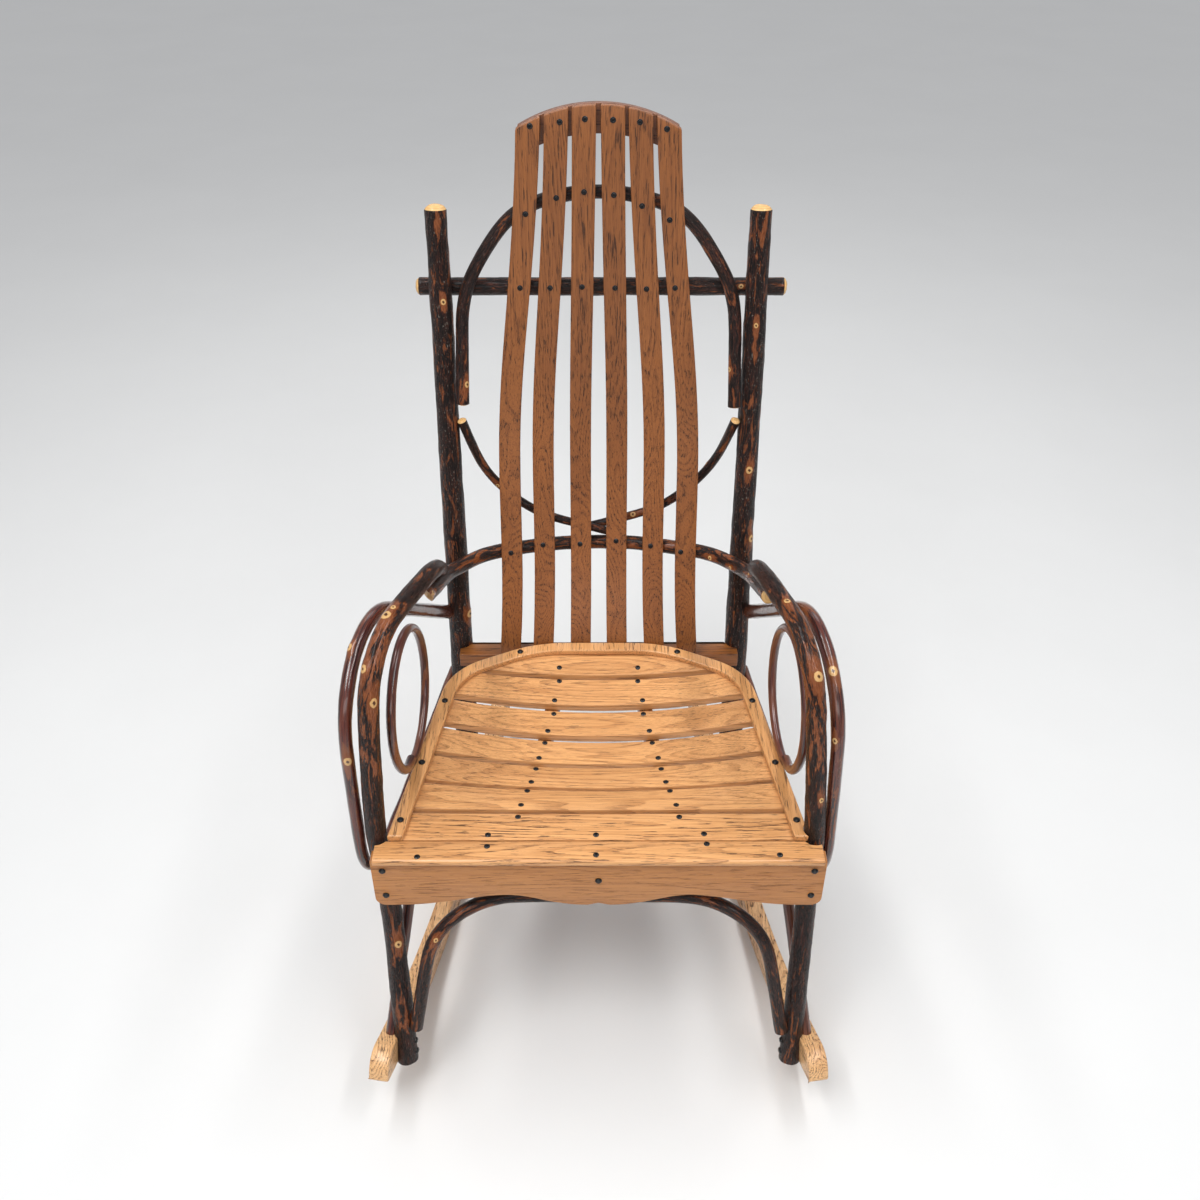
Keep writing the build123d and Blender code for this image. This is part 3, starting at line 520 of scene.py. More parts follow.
class Finish:
    """A material in the making."""

    def __init__(self, name, roughness=0.5, coat=0.0, coat_roughness=0.2, metallic=0.0, specular=0.5):
        self.material = bpy.data.materials.new(name)
        self.material.use_nodes = True
        self.tree = self.material.node_tree
        self.surface = self.tree.nodes["Principled BSDF"]
        for key, value in {"Roughness": roughness, "Coat Weight": coat, "Coat Roughness": coat_roughness,
                           "Metallic": metallic, "Specular IOR Level": specular}.items():
            self.surface.inputs[key].default_value = value

    def node(self, kind, settings, sockets, output=0):
        """Add a node: its settings first, then the values or links of its sockets."""
        node = self.tree.nodes.new("ShaderNode" + kind)
        for key, value in settings.items():
            setattr(node, key, value)
        for key, value in sockets.items():
            plug(self.tree, node.inputs[key], value)
        return Value(self.tree, node.outputs[output])

    def feed(self, name, value):
        plug(self.tree, self.surface.inputs[name], value)

    def attribute(self, name, output="Fac"):
        return self.node("Attribute", {"attribute_name": name}, {}, output)

    def place(self):
        """Coordinates in the piece's own frame."""
        return self.node("TexCoord", {}, {}, "Object")

    def stretched(self, place, across, along, offset=(0, 0, 0)):
        """Coordinates counted in features: so many to the metre across the grain and along it."""
        return self.node("Mapping", {}, {
            "Vector": place, "Location": offset, "Scale": (across, across, along)})

    def noise(self, place, scale=1.0, detail=3.0, roughness=0.5, distortion=0.0):
        return self.node("TexNoise", {}, {
            "Vector": place, "Scale": scale, "Detail": detail, "Roughness": roughness,
            "Distortion": distortion})

    def ramp(self, value, low, high):
        """0 at low, 1 at high, smooth between."""
        return self.node("MapRange", {"interpolation_type": "SMOOTHSTEP"}, {0: value, 1: low, 2: high})

    def mix(self, share, first, second):
        """The first colour at a share of 0, the second at 1."""
        return self.node("Mix", {"data_type": "RGBA"}, {0: share, 6: first, 7: second}, output=2)

    def bump(self, height, distance):
        self.feed("Normal", self.node("Bump", {}, {"Height": height, "Distance": distance}))


# ------------ finishes

# Radii from the heart of a knot, in metres, where its rim and its wood begin and where they are full
KNOT_RIM = (0.0078, 0.0062)
KNOT_WOOD = (0.0052, 0.0046)
# Heights of the finest relief, in metres
BARK_RELIEF = 0.0011
YOUNG_RELIEF = 0.00035
OAK_RELIEF = 0.00022
# The axes across, through and along the grain, by the axis along it
GRAIN_ORDERS = {"X": (1, 2, 0), "Y": (0, 2, 1), "Z": (0, 1, 2)}
# How far each board lies from the last in the plank, in shares of its shift
PLANK_SHIFT = (1, 0.37, 1.91)
GROWTH_RINGS = 24
PORE_SHADE = 0.16


def paint_knots(bark, tone, colour, fine, broad, ragged, heart):
    """Healed bark, pale wood and a dark heart, by the distance from the nearest knot."""
    edge = bark.attribute("knot") + (fine - 0.5) * ragged + (broad - 0.5) * 0.003
    wood = bark.mix(fine, tone.cut_ring, tone.knot_wood)
    colour = bark.mix(bark.ramp(edge, *KNOT_RIM) * 0.8, colour, tone.knot_rim)
    colour = bark.mix(bark.ramp(edge, *KNOT_WOOD), colour, wood)
    return bark.mix(bark.ramp(edge, *heart), colour, tone.knot_heart)


def hickory_bark(name, tone, peeled=0.5, flecks=0.5, furrows=1.0, roughness=0.42):
    """Dark furrowed bark, rubbed through to orange-brown in patches, with pale knots and cut ends."""
    bark = Finish(name, coat=0.16, coat_roughness=0.14, specular=0.22)
    grain = bark.attribute("grain", "Vector")
    cut = bark.attribute("cut")
    fine = bark.noise(bark.stretched(grain, 1150, 130), detail=4, roughness=0.65, distortion=0.4)
    plates = bark.noise(bark.stretched(grain, 330, 48), detail=4, roughness=0.6, distortion=0.9)
    broad = bark.noise(bark.stretched(grain, 95, 19), detail=5, roughness=0.66, distortion=0.7)
    speck = bark.noise(bark.stretched(grain, 800, 260), detail=2)
    ridge = bark.ramp(plates * 0.55 + fine * 0.45, 0.42, 0.60)
    colour = bark.mix(ridge, tone.bark_furrow, tone.bark_ridge)
    colour = bark.mix(bark.ramp(broad + fine * 0.2, 0.58, 0.72) * 0.8 * ridge, colour, tone.bark_red)
    level = 0.80 - bark.attribute("wear") * 0.165 * peeled
    rubbed = bark.ramp(broad + fine * 0.22 - level, 0.0, 0.03)
    patch = bark.attribute("peel") + (broad - 0.5) * 3.0 + (fine - 0.5) * 0.9
    bare = rubbed.larger(bark.ramp(patch, 0.80, 0.66))
    inner = bark.mix(bark.ramp(fine, 0.35, 0.62), tone.peeled_dark, tone.peeled)
    colour = bark.mix(bare, colour, inner)
    white = bark.ramp(speck, 0.62, 0.70) * bark.ramp(plates, 0.44, 0.56) * flecks * (1 - bare)
    colour = bark.mix(white, colour, tone.lichen)
    colour = paint_knots(bark, tone, colour, fine, broad, ragged=0.0016, heart=(0.0026, 0.0016))
    rings = bark.node("TexWave", {"wave_type": "RINGS", "rings_direction": "Z"}, {
        "Vector": grain, "Scale": 90, "Distortion": 1.5}, "Fac")
    sawn = bark.mix(rings * 0.45, tone.cut_wood, tone.cut_ring)
    bark.feed("Base Color", bark.mix(bark.ramp(cut, 0.35, 0.5), colour, sawn))
    bark.feed("Roughness", bare * -0.12 + (fine - 0.5) * 0.4 + roughness)
    solid = (1 - bare * 0.75) * (1 - bark.ramp(cut, 0.2, 0.5))
    bark.bump((ridge * 0.55 + fine * 0.45) * solid, BARK_RELIEF * furrows)
    return bark.material


def smooth_hickory(name, tone, gloss=0.24):
    """Young, smooth, reddish bark under a glossy finish."""
    bark = Finish(name, coat=0.8, coat_roughness=0.12, specular=0.35)
    grain = bark.attribute("grain", "Vector")
    streak = bark.noise(bark.stretched(grain, 420, 14), detail=4, roughness=0.6)
    broad = bark.noise(bark.stretched(grain, 50, 7), detail=4, roughness=0.6, distortion=0.7)
    fine = bark.noise(bark.stretched(grain, 1100, 160), roughness=0.6)
    colour = bark.mix(bark.ramp(streak, 0.38, 0.62), tone.young_dark, tone.young_red)
    colour = bark.mix(bark.ramp(broad, 0.47, 0.62) * 0.7, colour, tone.young_brown)
    colour = bark.mix(bark.ramp(broad + fine * 0.15, 0.68, 0.72) * 0.85, colour, tone.peeled_dark)
    patch = bark.attribute("peel") + (broad - 0.5) * 3.0 + (fine - 0.5) * 0.8
    inner = bark.mix(fine, tone.peeled_dark, tone.peeled)
    colour = bark.mix(bark.ramp(patch, 0.70, 0.58), colour, inner)
    colour = bark.mix(bark.ramp(fine, 0.64, 0.74) * 0.5, colour, tone.bark_furrow)
    colour = paint_knots(bark, tone, colour, fine, broad, ragged=0.0014, heart=(0.0024, 0.0016))
    bark.feed("Base Color", bark.mix(bark.ramp(bark.attribute("cut"), 0.35, 0.5), colour, tone.cut_wood))
    bark.feed("Roughness", (fine - 0.5) * 0.25 + (broad - 0.5) * 0.2 + gloss)
    bark.bump(streak * 0.6 + fine * 0.4, YOUNG_RELIEF)
    return bark.material


def oak(name, pale, brown, along, shift, pores=1.0, figure=1.0, roughness=0.36, coat=0.2, streaks=0.0):
    """Plain-sawn oak: cathedral figure, short dark pores and long soft streaks, all along the grain."""
    wood = Finish(name, coat=coat, coat_roughness=0.22)
    axes = wood.node("SeparateXYZ", {}, {0: wood.place()})
    moved = [axes.output(i) + shift * share for i, share in zip(GRAIN_ORDERS[along], PLANK_SHIFT)]
    grain = wood.node("CombineXYZ", {}, dict(enumerate(moved)))
    growth = wood.noise(wood.stretched(grain, 20, 1.2), detail=1.5, roughness=0.4, distortion=0.2)
    ring = (growth * GROWTH_RINGS).fraction()
    early = wood.ramp(ring, 0.35, 0.92) * wood.ramp(ring, 1.0, 0.96)
    fibre = wood.noise(wood.stretched(grain, 900, 16), detail=4, roughness=0.7)
    pore = wood.noise(wood.stretched(grain, 640, 34), roughness=0.6)
    broad = wood.noise(wood.stretched(grain, 18, 2.5))
    vessel = wood.ramp(pore + early * 0.085 + (broad - 0.5) * 0.10, 0.63 - 0.02 * pores, 0.665)
    colour = wood.mix(early * 0.55 * figure, pale, brown)
    colour = wood.mix(wood.ramp(broad, 0.35, 0.70) * 0.4, colour, brown)
    colour = wood.mix(wood.ramp(fibre, 0.46, 0.62) * 0.6, colour, brown)
    dark = tuple(channel * PORE_SHADE for channel in brown)
    colour = wood.mix(vessel * 0.8 * pores, colour, dark)
    if streaks:
        long_streak = wood.noise(wood.stretched(grain, 120, 3.0, (4, 7, 2)), detail=4, roughness=0.65)
        colour = wood.mix(wood.ramp(long_streak, 0.60, 0.72) * streaks, colour, dark)
    wood.feed("Base Color", colour)
    wood.feed("Roughness", (fibre - 0.5) * 0.18 + vessel * 0.25 + roughness)
    wood.bump((1 - vessel) * 0.8 + fibre * 0.2, OAK_RELIEF)
    return wood.material


def black_steel(name, black, rubbed):
    """Blackened screw heads, rubbed a little bright."""
    steel = Finish(name, metallic=0.6, coat=0.2)
    worn = steel.noise(steel.place(), scale=420)
    steel.feed("Base Color", steel.mix(steel.ramp(worn, 0.52, 0.72) * 0.5, black, rubbed))
    steel.feed("Roughness", (worn - 0.5) * 0.4 + 0.36)
    return steel.material


# ------------ properties


def colour_property(name, description, default):
    return bpy.props.FloatVectorProperty(
        name=name, description=description, default=default, subtype="COLOR", size=3, min=0, max=1)


class BarkProperties(bpy.types.PropertyGroup):
    bark_furrow: colour_property("Furrow", "Bottom of the furrows in old bark", (0.0045, 0.0030, 0.0028))
    bark_ridge: colour_property("Ridge", "Top of the ridges in old bark", (0.027, 0.0125, 0.0095))
    bark_red: colour_property("Red bark", "Where the old bark is thin", (0.085, 0.024, 0.014))
    peeled: colour_property("Inner bark", "Orange-brown, in the peeled patches", (0.25, 0.078, 0.026))
    peeled_dark: colour_property("Darker inner bark", "Its darker streaks", (0.125, 0.034, 0.013))
    lichen: colour_property("Flecks", "Grey-white flecks on the posts", (0.26, 0.235, 0.20))
    knot_rim: colour_property("Knot rim", "Healed bark round a knot", (0.20, 0.060, 0.018))
    knot_wood: colour_property("Knot wood", "Pale ring of a trimmed knot", (0.72, 0.47, 0.20))
    knot_heart: colour_property("Knot heart", "Dark centre of a knot", (0.09, 0.035, 0.014))
    cut_wood: colour_property("Cut wood", "Pale sawn or domed end", (0.74, 0.46, 0.19))
    cut_ring: colour_property("Cut rings", "Growth rings in the end", (0.48, 0.24, 0.08))
    young_dark: colour_property("Young bark, dark", "Smooth bark of the hoops", (0.022, 0.0075, 0.007))
    young_red: colour_property("Young bark, red", "Its redder streaks", (0.115, 0.027, 0.018))
    young_brown: colour_property("Young bark, brown", "Its browner stretches", (0.17, 0.058, 0.028))
    ridge_height: bpy.props.FloatProperty(
        name="Ridge height", description="How far the old bark stands in and out", default=0.0013,
        unit="LENGTH")


class OakProperties(bpy.types.PropertyGroup):
    seat: colour_property("Seat", "Golden oak of the seat", (0.75, 0.385, 0.150))
    seat_brown: colour_property("Seat, brown", "Its darker growth", (0.46, 0.195, 0.062))
    back: colour_property("Back", "Oak of the back slats", (0.30, 0.100, 0.021))
    # Back, brown is also the whole colour of the crest board, where it is painted shade.
    back_brown: colour_property("Back, brown", "Its darker growth", (0.165, 0.048, 0.009))
    apron: colour_property("Apron", "Oak of the front apron", (0.52, 0.213, 0.052))
    # Apron, brown and Back, brown also colour the rear rail, where they are painted shade.
    apron_brown: colour_property("Apron, brown", "Its darker growth", (0.36, 0.125, 0.026))
    rocker: colour_property("Rocker", "Oak of the rockers", (0.84, 0.52, 0.25))
    rocker_brown: colour_property("Rocker, brown", "Its darker growth", (0.46, 0.20, 0.070))
    eased: bpy.props.FloatProperty(
        name="Eased edge", description="Rounding of the sawn edges", default=0.0013, unit="LENGTH")


class ScrewProperties(bpy.types.PropertyGroup):
    black: colour_property("Black", "Blackened steel", (0.012, 0.012, 0.013))
    rubbed: colour_property("Rubbed", "The same where it is rubbed bright", (0.09, 0.085, 0.08))
    diameter: bpy.props.FloatProperty(
        name="Diameter", description="Breadth of a screw head", default=0.0078, unit="LENGTH")
    rise: bpy.props.FloatProperty(
        name="Rise", description="How far a head stands up", default=0.0011, unit="LENGTH")


class StageProperties(bpy.types.PropertyGroup):
    floor: colour_property("Floor", "Pale floor", (0.80, 0.80, 0.79))
    size: bpy.props.FloatProperty(
        name="Size", description="Breadth of the floor", default=40.0, unit="LENGTH")
    key: bpy.props.FloatProperty(
        name="Key light", description="Power of the overhead lamps", default=17.5, min=0, unit="POWER")
    sun: bpy.props.FloatProperty(name="Sun", description="Strength of the far light", default=0.95, min=0)
    sky: bpy.props.FloatProperty(name="Sky", description="Strength of the even light", default=0.34, min=0)
    sky_tone: colour_property("Sky tone", "Colour of the even light", (0.93, 0.95, 1.0))


# ------------ saplings


def build_saplings(names, material, slot, **habit):
    """Grow the named saplings, each in its node's place."""
    for name in names:
        facts = SAPLINGS[name]
        points, length = evened(rounded(facts["corners"], facts["bends"]))
        seed = SEED_STEP * (1 + sorted(SAPLINGS).index(name))
        piece = bent_sapling(name + "_bark", relaxed(points), length, facts["thick"], seed,
                             knots=KNOTS.get(name, ()), **habit)
        finish_piece(piece, name, material)


class CHAIR_OT_back_posts(bpy.types.Operator):
    """Grow the two back posts with their furrowed bark and domed tops"""

    bl_idname = "chair.back_posts"
    bl_label = "Back posts"

    def execute(self, context):
        tone = context.scene.chair_bark
        bark = hickory_bark("post_bark", tone, flecks=1.0, furrows=1.2)
        build_saplings(both("back_post"), bark, "hickory_bark",
                       ridges=tone.ridge_height, lumps=0.0030, dome=0.008, sides=40)
        return {"FINISHED"}


class CHAIR_OT_legs_and_arms(bpy.types.Operator):
    """Grow the saplings that run from the rockers up and over the arms"""

    bl_idname = "chair.legs_and_arms"
    bl_label = "Legs and arms"

    def execute(self, context):
        tone = context.scene.chair_bark
        bark = hickory_bark("arm_bark", tone, peeled=1.05, flecks=0.4, furrows=1.2, roughness=0.36)
        build_saplings(both("leg_arm"), bark, "hickory_bark",
                       ridges=tone.ridge_height, lumps=0.0024, dome=0.0015, sides=36, more_knots=2,
                       worn=(0.46, 0.74))
        return {"FINISHED"}


class CHAIR_OT_arm_hoops(bpy.types.Operator):
    """Bend the smooth outer hoops of the arms"""

    bl_idname = "chair.arm_hoops"
    bl_label = "Arm hoops"

    def execute(self, context):
        bark = smooth_hickory("hoop_bark", context.scene.chair_bark)
        build_saplings(both("arm_hoop"), bark, "smooth_hickory", ridges=0.0002, lumps=0.0018)
        return {"FINISHED"}


LOOP_START = math.radians(200)
LOOP_OVERLAP = 0.30
LOOP_POINTS = 150
# Thickness of a loop as it is measured, and as it tapers, in millimetres
LOOP_THICK = 12.5
LOOP_TAPER = (12.8, 11.6)
# How far its start runs inside its end, in shares of the thickness
LOOP_INSIDE = 0.55
# What counts as its front and its back, in shares of half its length, and as its top and foot, in metres
LOOP_ENDS = 0.98
LOOP_TIP = 0.004
LOOP_SEED = 40.3
LOOP_SEED_STEP = 3.1


def mean(places):
    return sum(places, Vector()) / len(places)


def loop_line(node):
    """The round of an arm loop, with a short overlap in which its start runs inside its end."""
    low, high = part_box(node)
    middle = (low + high) / 2
    spots = [vertex.co for vertex in NODES[node].data.vertices]
    reach = LOOP_ENDS * (high.y - low.y) / 2
    front = mean([spot for spot in spots if spot.y < middle.y - reach])
    back = mean([spot for spot in spots if spot.y > middle.y + reach])
    across = (back - front).normalized()
    up = (mean([spot for spot in spots if spot.z > high.z - LOOP_TIP])
          - mean([spot for spot in spots if spot.z < low.z + LOOP_TIP]))
    up = (up - across * up.dot(across)).normalized()
    thick = LOOP_THICK * MM
    radius = (high.z - low.z - thick) / 2 / up.z
    centre = (front + back) / 2
    centre.z = middle.z
    sweep = math.tau + LOOP_OVERLAP
    points = []
    for i in range(LOOP_POINTS + 1):
        run = sweep * i / LOOP_POINTS
        inward = thick * LOOP_INSIDE * max(0.0, 1 - run / LOOP_OVERLAP * 0.9)
        spoke = radius - inward
        angle = LOOP_START + run
        points.append(centre + across * (spoke * math.sin(angle)) + up * (spoke * math.cos(angle)))
    return evened(points)


class CHAIR_OT_arm_loops(bpy.types.Operator):
    """Bend the small closed loops under the arms"""

    bl_idname = "chair.arm_loops"
    bl_label = "Arm loops"

    def execute(self, context):
        bark = smooth_hickory("loop_bark", context.scene.chair_bark, gloss=0.34)
        for number, node in enumerate(both("arm_loop")):
            points, length = loop_line(node)
            seed = LOOP_SEED + number * LOOP_SEED_STEP
            piece = bent_sapling(node + "_bark", points, length, LOOP_TAPER, seed, sides=24, ridges=0.0002,
                                 lumps=0.0010, dome=0.001)
            finish_piece(piece, node, bark)
        return {"FINISHED"}


class CHAIR_OT_bows(bpy.types.Operator):
    """Bend the side bows, the front arch and the bow round the waist"""

    bl_idname = "chair.bows"
    bl_label = "Bows"

    def execute(self, context):
        tone = context.scene.chair_bark
        side = smooth_hickory("side_bow_bark", tone, gloss=0.32)
        build_saplings(both("side_bow"), side, "smooth_hickory",
                       ridges=0.0003, lumps=0.0012, sides=24)
        arch = hickory_bark("arch_bark", tone, peeled=0.65, flecks=0.1, furrows=0.7, roughness=0.36)
        build_saplings(("front_arch_bow",), arch, "hickory_bark",
                       ridges=0.0006, lumps=0.0014, sides=28, more_knots=2)
        bow = hickory_bark("bow_bark", tone, peeled=0.9, flecks=0.15, furrows=0.7, roughness=0.34)
        build_saplings(("arm_bow",), bow, "hickory_bark", ridges=0.0006, sides=30, more_knots=2)
        saw_off(bpy.data.objects["arm_bow_bark"], BOW_CUT, BOW_CUT_FACING)
        return {"FINISHED"}


class CHAIR_OT_back_frame(bpy.types.Operator):
    """Grow the crossbar, the hoop and the twigs behind the slats"""

    bl_idname = "chair.back_frame"
    bl_label = "Back frame"

    def execute(self, context):
        tone = context.scene.chair_bark
        bark = hickory_bark("back_bark", tone, peeled=0.3, flecks=0.3, furrows=0.9)
        build_saplings(("top_crossbar",), bark, "hickory_bark",
                       ridges=tone.ridge_height, lumps=0.0022, dome=0.006)
        build_saplings(("back_hoop",), bark, "hickory_bark", ridges=0.0007, sides=28)
        build_saplings(both("back_twig"), bark, "hickory_bark",
                       ridges=0.0005, lumps=0.0014, sides=24)
        return {"FINISHED"}


# ------------ boards


def weigh_edges(piece, sharpness=38, clear=0.0035):
    """Weight the sharp edges for easing, all but those round a screw's hole."""
    mesh = piece.data
    places = [vertex.co for node in SCREW_NODES for vertex in NODES[node].data.vertices]
    screws = mathutils.kdtree.KDTree(len(places))
    for i, place in enumerate(places):
        screws.insert(place, i)
    screws.balance()
    set_mode("EDIT")
    bpy.ops.mesh.select_mode(type="EDGE")
    bpy.ops.mesh.select_all(action="DESELECT")
    bpy.ops.mesh.edges_select_sharp(sharpness=math.radians(sharpness))
    set_mode("OBJECT")
    weights = []
    for edge in mesh.edges:
        a, b = (mesh.vertices[i].co for i in edge.vertices)
        weights.append(float(edge.select and screws.find((a + b) / 2)[2] > clear))
    name = "bevel_weight_edge"
    layer = mesh.attributes.get(name) or mesh.attributes.new(name, "FLOAT", "EDGE")
    layer.data.foreach_set("value", weights)


def dress_board(node, material, eased):
    """A sawn board: the frame's own shape with eased edges."""
    clear_selection()
    piece = NODES[node].copy()
    piece.data = NODES[node].data.copy()
    piece.name = node + "_oak"
    piece.parent = None
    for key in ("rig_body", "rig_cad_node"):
        if key in piece:
            del piece[key]
    bpy.context.scene.collection.objects.link(piece)
    pick(piece)
    set_mode("EDIT")
    bpy.ops.mesh.select_all(action="SELECT")
    bpy.ops.mesh.remove_doubles(threshold=NEAR)
    set_mode("OBJECT")
    if piece.data.has_custom_normals:
        bpy.ops.mesh.customdata_custom_splitnormals_clear()
    weigh_edges(piece)
    ease = piece.modifiers.new("eased", "BEVEL")
    ease.width = eased
    ease.segments = 3
    ease.limit_method = "WEIGHT"
    ease.use_clamp_overlap = False
    bpy.ops.object.modifier_apply(modifier=ease.name)
    finish_piece(piece, node, material, smooth=21)


FRONT_BOARDS = (1, 2)


class CHAIR_OT_seat(bpy.types.Operator):
    """Finish the seat boards, rim, apron, battens and rear rail in oak"""

    bl_idname = "chair.seat"
    bl_label = "Seat"

    def execute(self, context):
        tone = context.scene.chair_oak
        for number in range(1, 9):
            node = f"seat_board_{number}"
            pores = 1.1 if number in FRONT_BOARDS else 0.6
            wood = oak(f"seat_oak_{number}", tone.seat, tone.seat_brown, "X", shift=1.3 * number,
                       pores=pores)
            dress_board(node, wood, tone.eased)
        rim = oak("rim_oak", tone.seat, tone.seat_brown, "Y", shift=17.0, pores=0.9, figure=0.6)
        dress_board("seat_rim", rim, tone.eased)
        apron = oak("apron_oak", tone.apron, tone.apron_brown, "X", shift=21.0, pores=0.6,
                    figure=0.5, coat=0.1)
        dress_board("front_apron", apron, tone.eased)
        frame_oak = oak("frame_oak", tone.apron_brown, tone.back_brown, "Y", shift=25.0)
        for node in both("seat_batten"):
            dress_board(node, frame_oak, tone.eased)
        # The rear rail is coloured in the darker browns: painted shade for the shadow under the seat.
        rail_oak = oak("rail_oak", tone.apron_brown, tone.back_brown, "X", shift=29.0)
        dress_board("seat_rear_rail", rail_oak, tone.eased)
        return {"FINISHED"}


class CHAIR_OT_back_slats(bpy.types.Operator):
    """Finish the six slats and the crest board in oak"""

    bl_idname = "chair.back_slats"
    bl_label = "Back slats"

    def execute(self, context):
        tone = context.scene.chair_oak
        for number in range(1, 7):
            wood = oak(f"slat_oak_{number}", tone.back, tone.back_brown, "Z", shift=2.7 * number,
                       figure=0.9, coat=0.1, roughness=0.42)
            dress_board(f"back_slat_{number}", wood, tone.eased)
        # The crest board is coloured dark brown all through: painted shade for the shadow it lies in behind
        # the slats.
        crest = oak("crest_oak", tone.back_brown, tone.back_brown, "X", shift=33.0)
        dress_board("crest_board", crest, tone.eased)
        return {"FINISHED"}


class CHAIR_OT_rockers(bpy.types.Operator):
    """Finish the two sawn rockers in oak"""

    bl_idname = "chair.rockers"
    bl_label = "Rockers"

    def execute(self, context):
        tone = context.scene.chair_oak
        for number, node in enumerate(both("rocker")):
            wood = oak(node + "_oak_grain", tone.rocker, tone.rocker_brown, "Y",
                       shift=37.0 + 2 * number, pores=1.2, streaks=0.25)
            dress_board(node, wood, tone.eased * 2)
        return {"FINISHED"}


# ------------ screws

# Screws in the slats and the seat: column and row in the camera's view, row by row
SLAT_SCREWS = [
    [(529.7, 126), (559.6, 122), (584.8, 119), (613, 120), (640, 122), (667, 129)],
    [(525.4, 214), (556.2, 198), (584, 192), (613.8, 195), (642, 206), (669.7, 220)],
    [(520, 288), (550, 288), (582, 287), (615, 288), (646.5, 289), (675, 288)],
    [(511, 553), (543, 545), (580, 544), (616, 541), (650.5, 546), (680.7, 552)],
]
BATTEN_SCREWS = [
    (559.4, 667.7), (559.4, 681.3), (554.6, 700.4), (553.8, 714), (547.8, 731), (544.9, 743), (539, 758),
    (536, 769), (531.3, 782), (527.2, 791), (521, 805), (518, 817),
]
FRONT_SCREWS = [(417, 857), (487, 846.5), (596, 855), (706.7, 844), (780, 855), (488, 835), (596, 835),
                (704, 834)]
MIDDLE_COLUMN = 598.6
# A head's insets in shares of its diameter, each with its rise in shares of the head's
HEAD_STEPS = ((0.10, 0.45), (0.14, 0.2), (0.07, -1.0))
HEAD_SIDES = 20
HEAD_SUNK = 0.4
HEAD_TURN = 0.7


def screw_head(diameter, rise):
    """A shallow domed head with a round socket, on the origin, facing +Z."""
    clear_selection()
    bpy.ops.mesh.primitive_cylinder_add(
        vertices=HEAD_SIDES, radius=diameter / 2, depth=rise, end_fill_type="NGON",
        location=(0, 0, rise / 2 - rise * HEAD_SUNK))
    head = bpy.context.object
    bpy.ops.object.transform_apply(location=True, rotation=True, scale=True)
    set_mode("EDIT")
    select_faces(head, lambda face: face.normal.z > 0.9)
    for share, climb in HEAD_STEPS:
        bpy.ops.mesh.inset(thickness=diameter * share, depth=0)
        bpy.ops.transform.translate(value=(0, 0, rise * climb))
    set_mode("OBJECT")
    return head


def carried_by(prefix, column, row):
    """Where a screw in the camera's view sits: the nearest board on its line of sight."""
    best = None
    for name in NODES:
        if not name.startswith(prefix):
            continue
        board = bpy.data.objects[name + "_oak"]
        hit, place, normal, _ = board.ray_cast(CAMERA_PLACE, sight(column, row))
        if hit and (best is None or (place - CAMERA_PLACE).length < (best[0] - CAMERA_PLACE).length):
            best = (place.copy(), normal.copy())
    if best is None:
        raise RuntimeError(f"no {prefix} lies behind the screw at {column}, {row}")
    return best


def set_screws(pattern, prefix, spots):
    """Copy the pattern onto the boards at each spot and join the copies."""
    copies = []
    for number, (column, row) in enumerate(spots):
        place, normal = carried_by(prefix, column, row)
        head = pattern.copy()
        head.data = pattern.data.copy()
        bpy.context.scene.collection.objects.link(head)
        lean = normal.to_track_quat("Z", "Y").to_matrix().to_4x4()
        head.matrix_world = Matrix.Translation(place) @ lean @ Matrix.Rotation(number * HEAD_TURN, 4, "Z")
        copies.append(head)
    clear_selection()
    for head in copies:
        head.select_set(True)
    bpy.context.view_layer.objects.active = copies[0]
    bpy.ops.object.join()
    bpy.ops.object.transform_apply(location=True, rotation=True, scale=True)
    return bpy.context.object


class CHAIR_OT_screws(bpy.types.Operator):
    """Set the black screws of the slats and the seat boards"""

    bl_idname = "chair.screws"
    bl_label = "Screws"

    def execute(self, context):
        facts = context.scene.chair_screws
        steel = black_steel("black_steel", facts.black, facts.rubbed)
        for node in SCREW_NODES:
            NODES[node].data.materials.clear()
            NODES[node].data.materials.append(steel)
        pattern = screw_head(facts.diameter, facts.rise)
        right_battens = [(2 * MIDDLE_COLUMN - column, row) for column, row in BATTEN_SCREWS]
        groups = {
            "slat_screw_heads": ("back_slat", [spot for row in SLAT_SCREWS for spot in row]),
            "batten_screw_heads": ("seat_board", BATTEN_SCREWS + right_battens),
            "front_screw_heads": ("seat_board", FRONT_SCREWS),
        }
        for name, (prefix, spots) in groups.items():
            group = set_screws(pattern, prefix, spots)
            group.name = name
            finish_piece(group, None, steel, smooth=30)
        pick(pattern)
        bpy.ops.object.delete()
        return {"FINISHED"}


# ------------ the stage

# Place, turn in degrees, width, length and share of the key light's power
LAMPS = (
    ((-1.0, -0.5, 2.7), (0, -20, 0), 0.24, 3.0, 1.9),
    ((1.0, -0.5, 2.7), (0, 20, 0), 0.24, 3.0, 1.9),
    ((0, -2.8, 2.0), (60, 0, 0), 2.6, 0.9, 0.8),
    ((0, 2.6, 2.2), (-55, 0, 0), 2.4, 0.8, 0.4),
)
SUN_PLACE = (0, 0, 3)
SUN_TURN = (20, -14, 0)
SUN_SPREAD = 25
FLOOR_SHADE = 0.94


def hang_lamp(kind, place, turn):
    rotation = [math.radians(angle) for angle in turn]
    bpy.ops.object.light_add(type=kind, location=place, rotation=rotation)
    return bpy.context.object.data


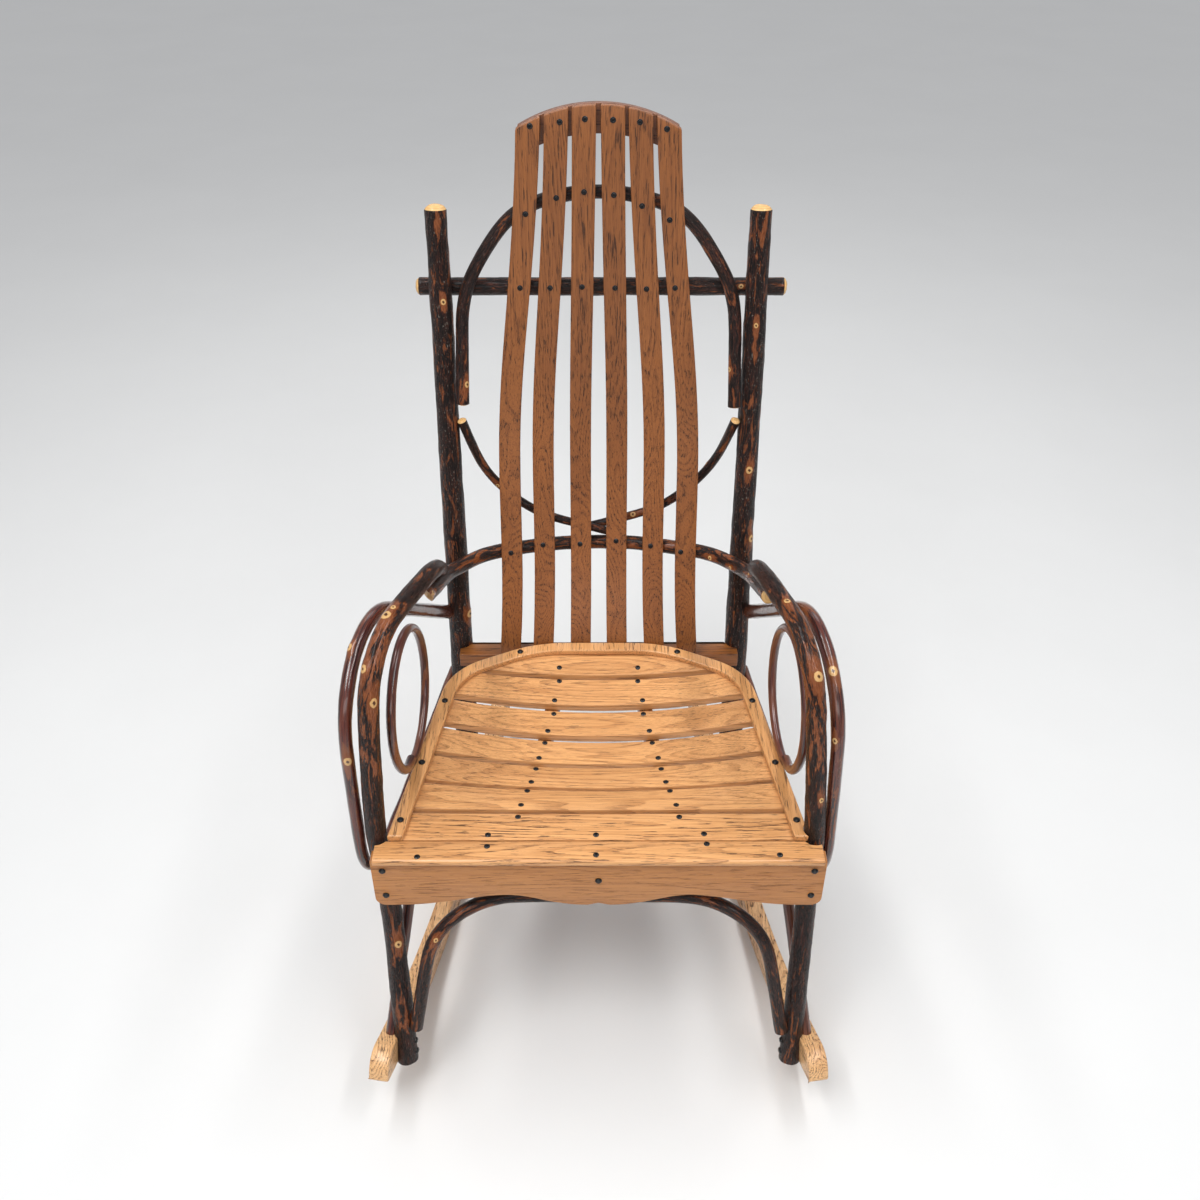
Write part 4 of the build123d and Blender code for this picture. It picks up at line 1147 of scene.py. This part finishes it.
class CHAIR_OT_stage(bpy.types.Operator):
    """Lay the pale floor, hang the lamps and set the camera"""

    bl_idname = "chair.stage"
    bl_label = "Stage"

    def execute(self, context):
        scene = context.scene
        facts = scene.chair_stage
        clear_selection()
        bpy.ops.mesh.primitive_plane_add(size=facts.size, location=(0, 0, 0))
        floor = context.object
        floor.name = "floor"
        pale = Finish("pale_floor", roughness=0.55, specular=0.3)
        cloud = pale.noise(pale.place(), scale=2.2, detail=5, roughness=0.6)
        darker = tuple(channel * FLOOR_SHADE for channel in facts.floor)
        pale.feed("Base Color", pale.mix(cloud, facts.floor, darker))
        floor.data.materials.append(pale.material)
        for place, turn, width, length, share in LAMPS:
            lamp = hang_lamp("AREA", place, turn)
            lamp.shape = "RECTANGLE"
            lamp.size = width
            lamp.size_y = length
            lamp.energy = facts.key * share
        sun = hang_lamp("SUN", SUN_PLACE, SUN_TURN)
        sun.angle = math.radians(SUN_SPREAD)
        sun.energy = facts.sun
        world = bpy.data.worlds.new("even_light")
        scene.world = world
        world.use_nodes = True
        back = world.node_tree.nodes["Background"]
        back.inputs["Color"].default_value = (*facts.sky_tone, 1)
        back.inputs["Strength"].default_value = facts.sky
        bpy.ops.object.camera_add(location=CAMERA_PLACE, rotation=(CAMERA_TILT, 0, 0))
        scene.camera = context.object
        scene.camera.data.sensor_width = SENSOR_WIDTH
        scene.camera.data.lens = SENSOR_WIDTH * FOCAL_PIXELS / IMAGE_SIZE
        scene.view_settings.view_transform = "Standard"
        return {"FINISHED"}


class CHAIR_PT_panel(bpy.types.Panel):
    """The chair's pieces, in the order in which they are made"""

    bl_idname = "CHAIR_PT_panel"
    bl_label = "Rocking Chair"
    bl_space_type = "VIEW_3D"
    bl_region_type = "UI"
    bl_category = "Rocking Chair"

    def draw(self, context):
        for operator in OPERATORS:
            self.layout.operator(operator.bl_idname)
        for group in ("chair_bark", "chair_oak", "chair_screws", "chair_stage"):
            owner = getattr(context.scene, group)
            box = self.layout.box()
            for key in owner.__annotations__:
                box.prop(owner, key)


OPERATORS = (
    CHAIR_OT_rockers, CHAIR_OT_back_posts, CHAIR_OT_legs_and_arms, CHAIR_OT_arm_hoops, CHAIR_OT_arm_loops,
    CHAIR_OT_bows, CHAIR_OT_back_frame, CHAIR_OT_seat, CHAIR_OT_back_slats, CHAIR_OT_screws, CHAIR_OT_stage,
)
GROUPS = {
    "chair_bark": BarkProperties, "chair_oak": OakProperties, "chair_screws": ScrewProperties,
    "chair_stage": StageProperties,
}


def register():
    for name, group in GROUPS.items():
        bpy.utils.register_class(group)
        setattr(bpy.types.Scene, name, bpy.props.PointerProperty(type=group))
    for kind in (*OPERATORS, CHAIR_PT_panel):
        bpy.utils.register_class(kind)


def unregister():
    for kind in (CHAIR_PT_panel, *reversed(OPERATORS)):
        bpy.utils.unregister_class(kind)
    for name, group in GROUPS.items():
        delattr(bpy.types.Scene, name)
        bpy.utils.unregister_class(group)


def main():
    register()
    for operator in OPERATORS:
        family, action = operator.bl_idname.split(".")
        getattr(getattr(bpy.ops, family), action)()


if __name__ == "__main__":
    main()
